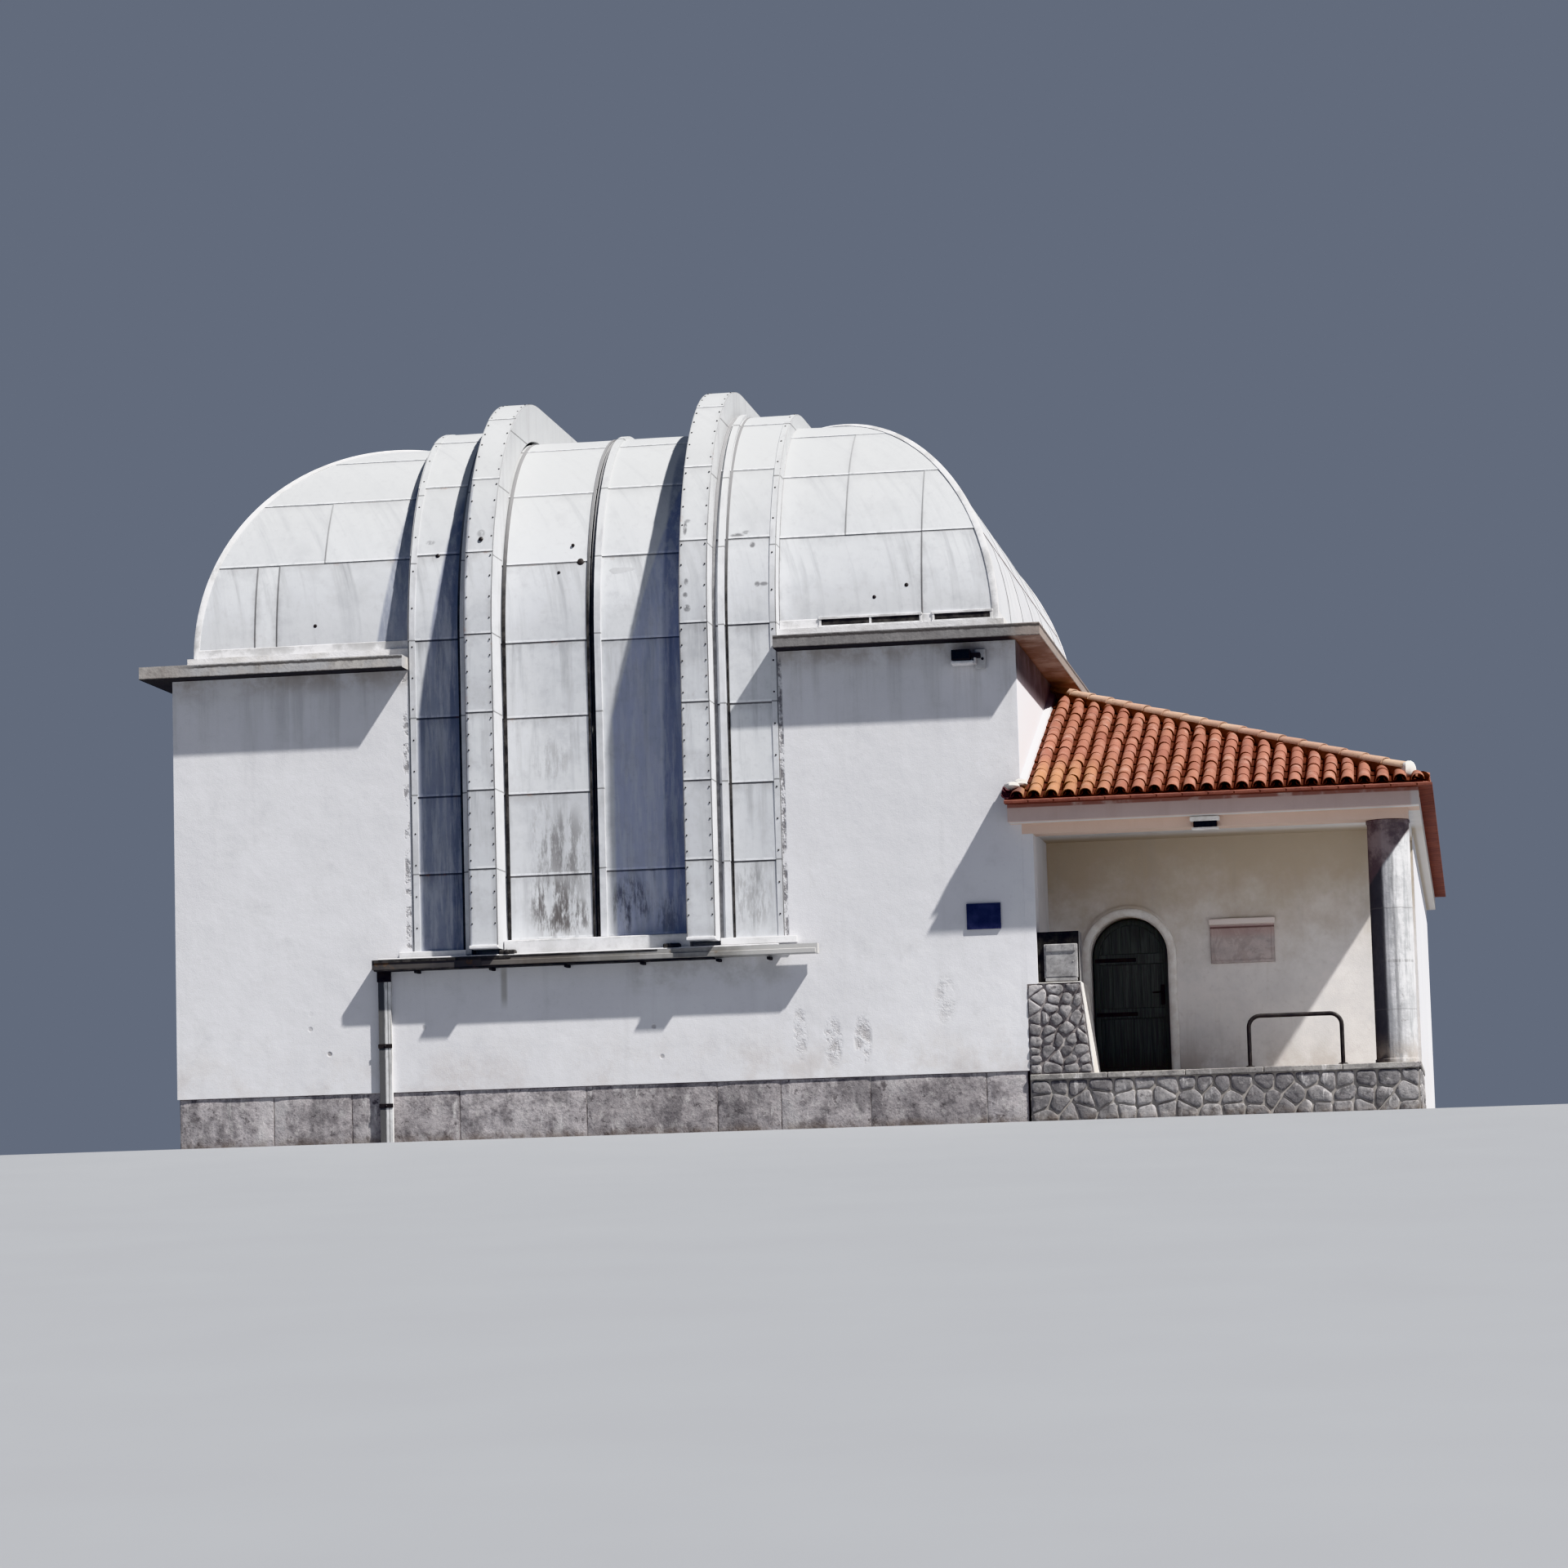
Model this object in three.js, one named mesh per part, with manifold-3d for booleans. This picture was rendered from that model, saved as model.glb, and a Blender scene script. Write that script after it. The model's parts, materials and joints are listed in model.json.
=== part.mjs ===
// Small fixed-roof observatory with a sliding-shutter slit and a tiled porch wing.
// Design frame while drawing: X to the right along the slit front, Y away from it, Z up, millimetres.
// The slit front wall lies in Y = 0, the middle of the square block in X = 0, the lowest ground point in Z = 0.
// At the end everything is moved by (-OX, -OY, 0), so that the origin is the middle of the base of the whole.
import * as THREE from "three";
import { mergeVertices } from "three/addons/utils/BufferGeometryUtils.js";
import Module from "manifold-3d";

const wasm = await Module();
wasm.setup();

// ---------- driving dimensions ----------
const GAP = 0.3; // between pieces that touch
const OX = 2200; // middle of the whole in X
const OY = 7600; // middle of the whole in Y

// square block
const HW = 5075; // half width
const DEPTH = 10150; // square in plan
const WALL = 400; // wall thickness
const PLINTH = 600; // stone plinth height, also the inside floor level
const PLINTH_IN = 25; // its core behind the wall plane, room for the rough stone faces
const SOFFIT = 5600; // underside of the cornice
const SLAB = 150; // cornice slab thickness
const OVERHANG = 315; // cornice beyond the wall
const FOOT = 5873; // where the dome curve starts
const KERB_IN = 145; // outer face of the kerb behind the wall plane
const KERB_TOP = 5885;
const INSET = 224; // dome foot behind the wall plane
const DOME_A = 2400; // half width of the side curve
const DOME_B = 2350; // the same for the front and back curve
const DOME_H = 2820; // rise of the curve
const SHELL = 80; // dome shell with its battens

// slit
const SC = 50; // middle of the slit in X
const BAND_OUT = 2220; // slit middle to the outer edge of a band
const RIB_OUT = 1460; // to the outer face of a rib
const RIB_IN = 1120; // to its inner face
const BAND_UP = 170; // band above the dome surface
const RIB_UP = 340; // rib above the band
const LEAF_DOWN = 180; // shutter leaf below the band
const SHEET = 60; // band and leaf thickness
const SILL_TOP = 2335; // where the leaves end
const LEDGE_TOP = 2150;
const LEDGE_OUT = 220;
const SLIDE_ROOM = 50; // rib underside above the leaf

// wing
const WX = 9500; // outer face of the wing wall
const WY = 15200; // back face of the wing
const WWALL = 350;
const EAVE_X = 9790; // outer edge of the right eave
const EAVE_Y0 = -500; // front eave
const EAVE_Y1 = 15700; // back eave
const EAVE_LEFT = 4930; // left end of the front eave, past the block's corner
const EAVE_Z = 3670; // top of the roof deck at its edge, below the tiles
const SLOPE = 0.3765;
const DECK = 90;
const EDGE = 25; // deck thickness at the eave, where its underside is cut level
const PORCH_Y = 2850; // porch back wall
const PORCH_Z = 550; // porch floor
const BEAM_Z = 3330; // underside of the porch beams
const DOOR_X = 6040;
const DOOR_W = 950;
const DOOR_TOP = 2545;

// ---------- helpers ----------
const solidOf = (g) => {
  g = g.index ? g.clone() : g.clone();
  g.deleteAttribute("normal");
  g.deleteAttribute("uv");
  g = mergeVertices(g, 1e-3);
  return new wasm.Manifold(
    new wasm.Mesh({
      numProp: 3,
      vertProperties: Float32Array.from(g.attributes.position.array),
      triVerts: Uint32Array.from(g.index.array),
    }),
  );
};
const geometryOf = (s) => {
  const m = s.getMesh(), n = m.numProp, v = new Float32Array(m.numVert * 3);
  for (let i = 0; i < m.numVert; i++)
    v.set(m.vertProperties.subarray(i * n, i * n + 3), i * 3);
  const g = new THREE.BufferGeometry();
  g.setAttribute("position", new THREE.BufferAttribute(v, 3));
  g.setIndex(new THREE.BufferAttribute(m.triVerts, 1));
  g.computeVertexNormals();
  return g;
};
const box = (x0, x1, y0, y1, z0, z1) =>
  solidOf(
    new THREE.BoxGeometry(x1 - x0, y1 - y0, z1 - z0).translate(
      (x0 + x1) / 2, (y0 + y1) / 2, (z0 + z1) / 2,
    ),
  );
const extrude = (points, depth) => {
  const pts = points.map(([a, b]) => new THREE.Vector2(a, b));
  if (THREE.ShapeUtils.isClockWise(pts)) pts.reverse();
  return new THREE.ExtrudeGeometry(new THREE.Shape(pts), {
    depth, bevelEnabled: false, steps: 1,
  });
};
const basis = (a, b, c, px = 0, py = 0, pz = 0) =>
  new THREE.Matrix4()
    .makeBasis(new THREE.Vector3(...a), new THREE.Vector3(...b), new THREE.Vector3(...c))
    .setPosition(px, py, pz);
// a (y, z) profile run along X
const alongX = (profile, x0, x1) =>
  solidOf(extrude(profile, x1 - x0).applyMatrix4(basis([0, 1, 0], [0, 0, 1], [1, 0, 0], x0)));
// an (x, z) profile run along Y
const alongY = (profile, y0, y1) =>
  solidOf(extrude(profile, y1 - y0).applyMatrix4(basis([1, 0, 0], [0, 0, 1], [0, -1, 0], 0, y1)));
// an (x, y) plan whose bottom and top follow two planes
const slab = (plan, bottom, top) => {
  const g = extrude(plan, 1), p = g.attributes.position;
  for (let i = 0; i < p.count; i++) {
    const x = p.getX(i), y = p.getY(i);
    p.setZ(i, p.getZ(i) > 0.5 ? top(x, y) : bottom(x, y));
  }
  return solidOf(g);
};
const rod = (a, b, r, n = 20) => {
  const A = new THREE.Vector3(...a), B = new THREE.Vector3(...b), d = B.clone().sub(A);
  const g = new THREE.CylinderGeometry(r, r, d.length(), n).translate(0, d.length() / 2, 0);
  g.applyQuaternion(new THREE.Quaternion().setFromUnitVectors(new THREE.Vector3(0, 1, 0), d.clone().normalize()));
  return solidOf(g.translate(A.x, A.y, A.z));
};
const ball = (c, r) => solidOf(new THREE.SphereGeometry(r, 12, 8).translate(...c));
const join = (...s) => s.reduce((a, b) => a.add(b));

const group = new THREE.Group();
const put = (name, solid, color) => {
  const mesh = new THREE.Mesh(geometryOf(solid), new THREE.MeshStandardMaterial({ color }));
  mesh.name = name;
  mesh.position.set(-OX, -OY, 0);
  group.add(mesh);
};

const WHITE = 0xe6e6ea, STONE = 0x8c8688, SLABC = 0x8f877e, SHEETC = 0xdcdee2,
  TILE = 0xb6603f, CREAM = 0xcfc3ac, DARK = 0x20242a, WOOD = 0x2b2f2c;

// ---------- curves ----------
// Arch over the block: h = half span, m = middle, a = half width of each curve, b = rise, foot and bottom levels.
const arch = (m, h, a, b, foot, bottom, n = 36) => {
  const right = [], left = [];
  for (let i = 0; i <= n; i++) {
    const t = (i / n) * (Math.PI / 2);
    const d = h - a * (1 - Math.cos(t)), z = foot + b * Math.sin(t);
    right.push([m + d, z]);
    left.unshift([m - d, z]);
  }
  return [[m - h, bottom], [m + h, bottom], ...right, ...left];
};
const MY = DEPTH / 2;
const half = HW - INSET;
const halfY = MY - INSET;
// the arch of the slit pieces: out = how far it lies outside the band surface (negative: inside)
const slitArch = (out, bottom) =>
  arch(MY, MY + out, DOME_B + INSET + out, DOME_H + BAND_UP + out, FOOT, bottom);

// ---------- square block ----------
const bl = SC - BAND_OUT, br = SC + BAND_OUT; // outer edges of the bands
put("plinth", box(-HW + PLINTH_IN, HW - PLINTH_IN, PLINTH_IN, DEPTH - PLINTH_IN, 0, PLINTH).subtract(
  box(-HW + WALL + 50, HW - WALL - 50, WALL + 50, DEPTH - WALL - 50, -10, PLINTH + 10)), STONE);
put("floor", box(-HW + WALL + 50 + GAP, HW - WALL - 50 - GAP, WALL + 50 + GAP, DEPTH - WALL - 50 - GAP, PLINTH - 180, PLINTH), SLABC);

const frontWall = (y0, y1) =>
  box(-HW, HW, y0, y1, PLINTH + GAP, SOFFIT).subtract(
    box(bl - GAP, br + GAP, y0 - 10, y1 + 10, LEDGE_TOP, SOFFIT + 10));
put("wall_front", frontWall(0, WALL), WHITE);
put("wall_back", frontWall(DEPTH - WALL, DEPTH), WHITE);
put("wall_left", box(-HW, -HW + WALL, WALL + GAP, DEPTH - WALL - GAP, PLINTH + GAP, SOFFIT), WHITE);
put("wall_right", box(HW - WALL, HW, WALL + GAP, DEPTH - WALL - GAP, PLINTH + GAP, SOFFIT), WHITE);

const ring = box(-HW - OVERHANG, HW + OVERHANG, -OVERHANG, DEPTH + OVERHANG, SOFFIT + GAP, SOFFIT + SLAB)
  .add(box(-HW + KERB_IN, HW - KERB_IN, KERB_IN, DEPTH - KERB_IN, SOFFIT + SLAB - 20, KERB_TOP))
  .subtract(box(-HW + WALL, HW - WALL, WALL, DEPTH - WALL, SOFFIT - 50, SOFFIT + SLAB + 0.2))
  .subtract(box(-half - GAP, half + GAP, INSET - GAP, DEPTH - INSET + GAP, SOFFIT + SLAB, KERB_TOP + 50));
put("cornice_left", ring.subtract(box(bl - GAP, HW + 900, -900, DEPTH + 900, 0, 9999)), SLABC);
put("cornice_right", ring.subtract(box(-HW - 900, br + GAP, -900, DEPTH + 900, 0, 9999)), SLABC);

// ---------- dome ----------
const vault = (t) => {
  const base = SOFFIT + SLAB + GAP;
  return alongY(arch(0, half - t, DOME_A - t, DOME_H - t, FOOT, base - t), -500, DEPTH + 500)
    .intersect(alongX(arch(MY, halfY - t, DOME_B - t, DOME_H - t, FOOT, base - t), -HW, HW));
};
const dome = vault(0).subtract(vault(SHELL));
put("dome_left", dome.subtract(box(bl - GAP, HW + 900, -900, DEPTH + 900, 0, 99999)), SHEETC);
put("dome_right", dome.subtract(box(-HW - 900, br + GAP, -900, DEPTH + 900, 0, 99999)), SHEETC);

// ---------- slit ----------
const band = (s) => {
  const X = (d) => SC + s * d, span = (a, b) => [Math.min(X(a), X(b)), Math.max(X(a), X(b))];
  const deep = INSET + SHELL;
  const deepArch = arch(MY, MY - deep, DOME_B + INSET - deep, DOME_H - SHELL, FOOT, LEDGE_TOP - 50);
  return alongX(slitArch(0, LEDGE_TOP + GAP), ...span(RIB_OUT + GAP, BAND_OUT))
    .subtract(alongX(slitArch(-SHEET, LEDGE_TOP - 50), ...span(RIB_OUT - 10, BAND_OUT - SHEET)))
    .subtract(alongX(deepArch, ...span(RIB_OUT - 20, BAND_OUT + 20)));
};
put("band_left", band(-1), SHEETC);
put("band_right", band(1), SHEETC);

const rib = (s) =>
  alongX(slitArch(RIB_UP, LEDGE_TOP + 80), SC + (s < 0 ? -RIB_OUT : RIB_IN), SC + (s < 0 ? -RIB_IN : RIB_OUT))
    .subtract(alongX(slitArch(-LEAF_DOWN + SLIDE_ROOM, LEDGE_TOP - 50), SC - 2000, SC + 2000));
put("rib_left", rib(-1), SHEETC);
put("rib_right", rib(1), SHEETC);

const leafStrip = (x0, x1, out = -LEAF_DOWN, inn = -LEAF_DOWN - SHEET) =>
  alongX(slitArch(out, SILL_TOP + 10), x0, x1).subtract(alongX(slitArch(inn, SILL_TOP - 90), x0 - 10, x1 + 10));
put("shutter_left", leafStrip(-1150, -5), SHEETC);
put("shutter_right",
  leafStrip(15, 1250).add(leafStrip(60, 140, -LEAF_DOWN + 45, -LEAF_DOWN - 20)), SHEETC);

const sill = (front) => {
  const yy = (a, b) => (front ? [a, b] : [DEPTH - b, DEPTH - a]);
  return box(bl + 70, br - 70, ...yy(140, 360), LEDGE_TOP + GAP, SILL_TOP)
    .add(box(SC - RIB_IN + 10, SC + RIB_IN - 10, ...yy(-50, 150), LEDGE_TOP + GAP, SILL_TOP));
};
put("sill_front", sill(true), WHITE);
put("sill_back", sill(false), WHITE);
// the ledge stands off the wall beyond the right band
const ledge = (y0, y1, w0, w1) => box(-2620, 2680, y0, y1, 2035, LEDGE_TOP).subtract(box(2230, 2700, w0, w1, 2000, 2200));
put("ledge_front", ledge(-LEDGE_OUT, -GAP, -80, 10), WHITE);
put("ledge_back", ledge(DEPTH + GAP, DEPTH + LEDGE_OUT, DEPTH - 10, DEPTH + 80), WHITE);
put("ledge_post", box(-2590, -2440, -60, -GAP, 0, 2035 - GAP), WHITE);

// ---------- wing ----------
const deckTop = {
  right: (x) => EAVE_Z + SLOPE * (EAVE_X - x),
  front: (x, y) => EAVE_Z + SLOPE * (y - EAVE_Y0),
  back: (x, y) => EAVE_Z + SLOPE * (EAVE_Y1 - y),
};
const down = (f) => (x, y) => f(x, y) - DECK;
const XL = HW + GAP;
const apex = EAVE_X - XL;
const deck = (plan, top) =>
  slab(plan, down(top), top).subtract(box(0, 20000, -2000, 20000, 0, EAVE_Z - EDGE));
put("wing_roof_front", deck(
  [[EAVE_LEFT, EAVE_Y0], [EAVE_X - GAP, EAVE_Y0], [XL, EAVE_Y0 + apex - GAP], [XL, -GAP], [EAVE_LEFT, -GAP]],
  deckTop.front), TILE);
put("wing_roof_right", deck(
  [[EAVE_X, EAVE_Y0], [EAVE_X, EAVE_Y1], [XL, EAVE_Y1 - apex], [XL, EAVE_Y0 + apex]],
  deckTop.right), TILE);
put("wing_roof_back", deck(
  [[EAVE_X - GAP, EAVE_Y1], [XL, EAVE_Y1], [XL, EAVE_Y1 - apex + GAP]],
  deckTop.back), TILE);

// everything under the roof deck, for trimming the tops of walls and beams
const lid = 2 * GAP + DECK;
const underRoof = alongY(
  [[XL, -100], [EAVE_X, -100], [EAVE_X, EAVE_Z - lid], [XL, EAVE_Z - lid + SLOPE * apex]], EAVE_Y0, EAVE_Y1)
  .intersect(alongX(
    [[EAVE_Y0, -100], [EAVE_Y1, -100], [EAVE_Y1, EAVE_Z - lid],
      [(EAVE_Y0 + EAVE_Y1) / 2, EAVE_Z - lid + (SLOPE * (EAVE_Y1 - EAVE_Y0)) / 2], [EAVE_Y0, EAVE_Z - lid]],
    XL - 10, EAVE_X + 10));

const archPts = (cx, w, z0, top, n = 24) => {
  const r = w / 2, zc = top - r, p = [[cx - r, z0], [cx + r, z0]];
  for (let i = 0; i <= n; i++) {
    const t = (i / n) * Math.PI;
    p.push([cx + r * Math.cos(t), zc + r * Math.sin(t)]);
  }
  return p;
};
put("porch_floor", box(XL, WX, 0, PORCH_Y - GAP, 0, PORCH_Z), STONE);
put("wing_floor", box(XL + (0), WX - WWALL - GAP, PORCH_Y + WWALL + GAP, DEPTH, PORCH_Z - 150, PORCH_Z)
  .add(box(XL + WWALL + GAP, WX - WWALL - GAP, PORCH_Y + WWALL + GAP, WY - WWALL - GAP, PORCH_Z - 150, PORCH_Z)), SLABC);
put("wing_wall_front", box(XL, WX, PORCH_Y, PORCH_Y + WWALL, 0, 6000)
  .subtract(alongY(archPts(DOOR_X, DOOR_W, PORCH_Z, DOOR_TOP), PORCH_Y - 50, PORCH_Y + WWALL + 50))
  .intersect(underRoof), CREAM);
put("wing_wall_right", box(WX - WWALL, WX, PORCH_Y + WWALL + GAP, WY - WWALL - GAP, 0, 6000).intersect(underRoof), WHITE);
put("wing_wall_back", box(XL, WX, WY - WWALL, WY, 0, 6000).intersect(underRoof), WHITE);
put("wing_wall_left", box(XL, XL + WWALL, DEPTH + GAP, WY - WWALL - GAP, 0, 6000).intersect(underRoof), WHITE);
put("porch_column", rod([9260, 250, PORCH_Z + GAP], [9260, 250, BEAM_Z - GAP], 240, 40), WHITE);
put("porch_beam_front", box(XL, WX, 0, 350, BEAM_Z, 6000).intersect(underRoof), CREAM);
put("porch_beam_right", box(WX - WWALL, WX, 350 + GAP, PORCH_Y - GAP, BEAM_Z, 6000).intersect(underRoof), CREAM);
put("porch_ceiling", box(XL, WX - WWALL - GAP, 350 + GAP, PORCH_Y - GAP, 3480, 3540), CREAM);
put("eave_soffit", box(EAVE_LEFT + 20, EAVE_X - 160, -340, -GAP, 3445, EAVE_Z - EDGE - 2)
  .add(box(WX + GAP, EAVE_X - 160, -340, WY + 340, 3445, EAVE_Z - EDGE - 2))
  .add(box(XL, EAVE_X - 160, WY + GAP, WY + 340, 3445, EAVE_Z - EDGE - 2)), CREAM);
put("door_surround", alongY(archPts(DOOR_X, DOOR_W + 200, PORCH_Z + GAP, DOOR_TOP + 130), PORCH_Y - 45, PORCH_Y - GAP)
  .subtract(alongY(archPts(DOOR_X, DOOR_W - 20, PORCH_Z - 50, DOOR_TOP - 10), PORCH_Y - 100, PORCH_Y + 10)), CREAM);
put("door", alongY(archPts(DOOR_X, DOOR_W - 20, PORCH_Z + 12, DOOR_TOP - 10), PORCH_Y + WWALL - 60, PORCH_Y + WWALL - 5), WOOD);
put("wall_plaque", box(7030, 7800, PORCH_Y - 60, PORCH_Y - GAP, 1930, 2465), CREAM);
put("sign_plate", box(4405, 4800, -22, -GAP, 2248, 2545), DARK);
put("flood_lamp", join(
  box(4350, 4560, -200, -90, 5375, 5480), box(4550, 4660, -165, -130, 5400, 5450),
  box(4630, 4670, -165, -30, 5400, 5450), box(4605, 4720, -40, -GAP, 5280, 5500)), DARK);
put("meter_pier", alongY([[XL + GAP, PORCH_Z + GAP], [5810, PORCH_Z + GAP], [5690, 1594], [XL + GAP, 1594]], 0, 780), STONE);
put("porch_jamb", box(XL + GAP, 5203, 0, 350, 1594 + GAP, BEAM_Z - GAP), WHITE);
put("meter_box", box(5206, 5684, 60, 420, 1594 + GAP, 2190), CREAM);
// handrail: a bent tube on two legs
const rr = 24, rz = 1140, ry = 130, rb = 130, xa = 7590, xb = 8645;
const bend = (cx, from, to) => {
  const parts = [];
  for (let i = 0; i < 6; i++) {
    const p = [i, i + 1].map((k) => from + ((to - from) * k) / 6).map((t) => [cx + rb * Math.cos(t), ry, rz - rb + rb * Math.sin(t)]);
    parts.push(rod(p[0], p[1], rr, 12), ball(p[1], rr));
  }
  return join(...parts);
};
put("handrail", join(
  rod([xa, ry, PORCH_Z + GAP], [xa, ry, rz - rb], rr), rod([xb, ry, PORCH_Z + GAP], [xb, ry, rz - rb], rr),
  rod([xa + rb, ry, rz], [xb - rb, ry, rz], rr), bend(xa + rb, Math.PI / 2, Math.PI), bend(xb - rb, 0, Math.PI / 2),
  ball([xa, ry, rz - rb], rr), ball([xb, ry, rz - rb], rr)), DARK);

export default group;
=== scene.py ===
"""Looks for the small observatory: materials, sheets, tiles, stones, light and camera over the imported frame."""
import json
import math
import random

import bmesh
import bpy
from mathutils import Matrix, Vector, noise


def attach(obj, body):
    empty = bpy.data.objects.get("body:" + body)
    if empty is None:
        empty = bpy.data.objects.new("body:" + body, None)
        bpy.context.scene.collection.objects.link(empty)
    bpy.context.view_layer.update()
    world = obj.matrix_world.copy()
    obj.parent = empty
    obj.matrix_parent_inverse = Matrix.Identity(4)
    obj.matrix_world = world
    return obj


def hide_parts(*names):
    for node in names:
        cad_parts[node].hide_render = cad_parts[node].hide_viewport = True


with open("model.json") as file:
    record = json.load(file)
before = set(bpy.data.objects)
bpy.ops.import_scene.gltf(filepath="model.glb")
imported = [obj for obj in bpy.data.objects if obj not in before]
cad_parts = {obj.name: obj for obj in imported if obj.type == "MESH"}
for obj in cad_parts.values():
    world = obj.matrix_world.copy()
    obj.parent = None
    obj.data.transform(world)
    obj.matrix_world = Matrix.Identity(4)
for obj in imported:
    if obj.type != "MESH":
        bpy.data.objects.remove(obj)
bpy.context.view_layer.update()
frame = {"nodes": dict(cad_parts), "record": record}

# ---------------------------------------------------------------- places
# Everything is thought out in the drawing frame of the building (metres): slit front wall in y = 0, middle of the
# square block in x = 0, ground in z = 0. W() turns that into the frame of the model.
OX, OY = 2.2, 7.6


def W(x, y, z):
    return Vector((x - OX, y - OY, z))


HW, DEPTH, WALL, PLINTH, SOFFIT, FOOT, INSET = 5.075, 10.15, 0.4, 0.6, 5.6, 5.873, 0.224
DOME_A, DOME_B, DOME_H = 2.4, 2.35, 2.82
SC, BAND_OUT, RIB_OUT, RIB_IN = 0.05, 2.22, 1.46, 1.12
BAND_UP, RIB_UP, LEAF_DOWN, SILL_Z, SILL_TOP = 0.17, 0.34, 0.18, 2.15, 2.335
MY = DEPTH / 2
HALF = HW - INSET
EAVE_X, EAVE_Y0, EAVE_Y1, EAVE_LEFT, EAVE_Z, SLOPE = 9.79, -0.5, 15.7, 4.93, 3.67, 0.3765
XL = HW + 0.0003
WX, WY = 9.5, 15.2
PORCH_Y, PORCH_Z, BEAM_Z = 2.85, 0.55, 3.33
DOOR_X, DOOR_W, DOOR_TOP = 6.04, 0.95, 2.545

# ---------------------------------------------------------------- camera
C = W(10.1706, -49.4418, -1.4921)
fwd = Vector((-0.156085, 0.981622, 0.109799))
right = Vector((0.986726, 0.160002, -0.027764))
up = Vector((0.044822, -0.104008, 0.993566))
sc = bpy.context.scene
cam = bpy.data.objects.new("camera", bpy.data.cameras.new("camera"))
sc.collection.objects.link(cam)
m = Matrix((right, up, -fwd)).transposed().to_4x4()
m.translation = C
cam.matrix_world = m
cam.data.sensor_width = 36.0
cam.data.lens = 18.0 / math.tan(math.radians(20.6) / 2)
cam.data.clip_end = 2000.0
sc.camera = cam

# ---------------------------------------------------------------- light
sc.view_settings.view_transform = "Khronos PBR Neutral"
world = bpy.data.worlds.new("studio")
sc.world = world
world.use_nodes = True
world.node_tree.nodes["Background"].inputs[0].default_value = (0.54, 0.62, 0.80, 1)
world.node_tree.nodes["Background"].inputs[1].default_value = 0.30
sun = bpy.data.objects.new("key", bpy.data.lights.new("key", "SUN"))
sc.collection.objects.link(sun)
sun.data.energy = 6.2
sun.data.angle = math.radians(1.3)
sun.data.color = (1.0, 0.97, 0.92)
sun.rotation_euler = Vector((0.546, -0.276, 0.791)).to_track_quat("Z", "Y").to_euler()

# a broad weak fill that opens up the shade under the porch roof
fill = bpy.data.objects.new("fill", bpy.data.lights.new("fill", "AREA"))
sc.collection.objects.link(fill)
fill.data.shape = "RECTANGLE"
fill.data.size, fill.data.size_y = 3.4, 1.4
fill.data.energy = 8.0
fill.data.spread = math.radians(60)
fill.data.color = (1.0, 0.95, 0.94)
fill.location = W(7.8, -3.4, 1.2)
fill.rotation_euler = Vector((0.03, -0.98, -0.16)).to_track_quat("Z", "Y").to_euler()
fill.visible_camera = fill.visible_glossy = False


# ---------------------------------------------------------------- mesh helpers
class Piece:
    """Vertices and faces of one piece in the drawing frame, with two vectors a vertex that its material may read."""

    def __init__(self):
        self.v, self.f, self.a, self.b = [], [], [], []

    def add(self, verts, faces, a=(0.0, 0.0, 0.0), b=(0.0, 0.0, 0.0)):
        n = len(self.v)
        self.v += [tuple(q) for q in verts]
        self.f += [tuple(i + n for i in f) for f in faces]
        self.a += a if isinstance(a, list) else [a] * len(verts)
        self.b += b if isinstance(b, list) else [b] * len(verts)

    def make(self, name, mat, body="building", slot=None, angle=35, cuts=()):
        me = bpy.data.meshes.new(name)
        me.from_pydata([W(*q) for q in self.v], [], self.f)
        for key, rows in (("edge", self.a), ("flow", self.b)):
            at = me.attributes.new(key, "FLOAT_VECTOR", "POINT")
            at.data.foreach_set("vector", [c for r in rows for c in r])
        if cuts:
            bm = bmesh.new()
            bm.from_mesh(me)
            for co, no in cuts:
                bmesh.ops.bisect_plane(bm, geom=bm.verts[:] + bm.edges[:] + bm.faces[:], dist=1e-6,
                                       plane_co=W(*co), plane_no=no, clear_outer=True)
            bm.to_mesh(me)
            bm.free()
        me.validate()
        me.polygons.foreach_set("use_smooth", [True] * len(me.polygons))
        me.set_sharp_from_angle(angle=math.radians(angle))
        me.materials.append(mat)
        ob = bpy.data.objects.new(name, me)
        sc.collection.objects.link(ob)
        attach(ob, body)
        return ob


def bbox(P, x0, x1, y0, y1, z0, z1, c=0.004, a=(0.0, 0.0, 0.0), b=(0.0, 0.0, 0.0)):
    """A block with bevelled edges."""
    lo, hi = (x0, y0, z0), (x1, y1, z1)
    c = min(c, *[(hi[k] - lo[k]) * 0.45 for k in range(3)])
    idx, pts = {}, []
    for i in (0, 1):
        for j in (0, 1):
            for k in (0, 1):
                s = (i, j, k)
                for ax in range(3):
                    q = [(hi[d] if s[d] else lo[d]) for d in range(3)]
                    for d in range(3):
                        if d != ax:
                            q[d] += -c if s[d] else c
                    idx[s, ax] = len(pts)
                    pts.append(tuple(q))
    faces = []
    for ax in range(3):
        f, g = [d for d in range(3) if d != ax]
        for s in (0, 1):
            ring = []
            for p, q in ((0, 0), (1, 0), (1, 1), (0, 1)):
                k = [0, 0, 0]
                k[ax], k[f], k[g] = s, p, q
                ring.append(idx[tuple(k), ax])
            faces.append(ring)
        for p in (0, 1):
            for q in (0, 1):
                k0, k1 = [0, 0, 0], [0, 0, 0]
                k0[f] = k1[f] = p
                k0[g] = k1[g] = q
                k1[ax] = 1
                k0, k1 = tuple(k0), tuple(k1)
                faces.append([idx[k0, f], idx[k0, g], idx[k1, g], idx[k1, f]])
    for i in (0, 1):
        for j in (0, 1):
            for k in (0, 1):
                faces.append([idx[(i, j, k), ax] for ax in range(3)])
    P.add(pts, outward(pts, faces), a, b)


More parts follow.
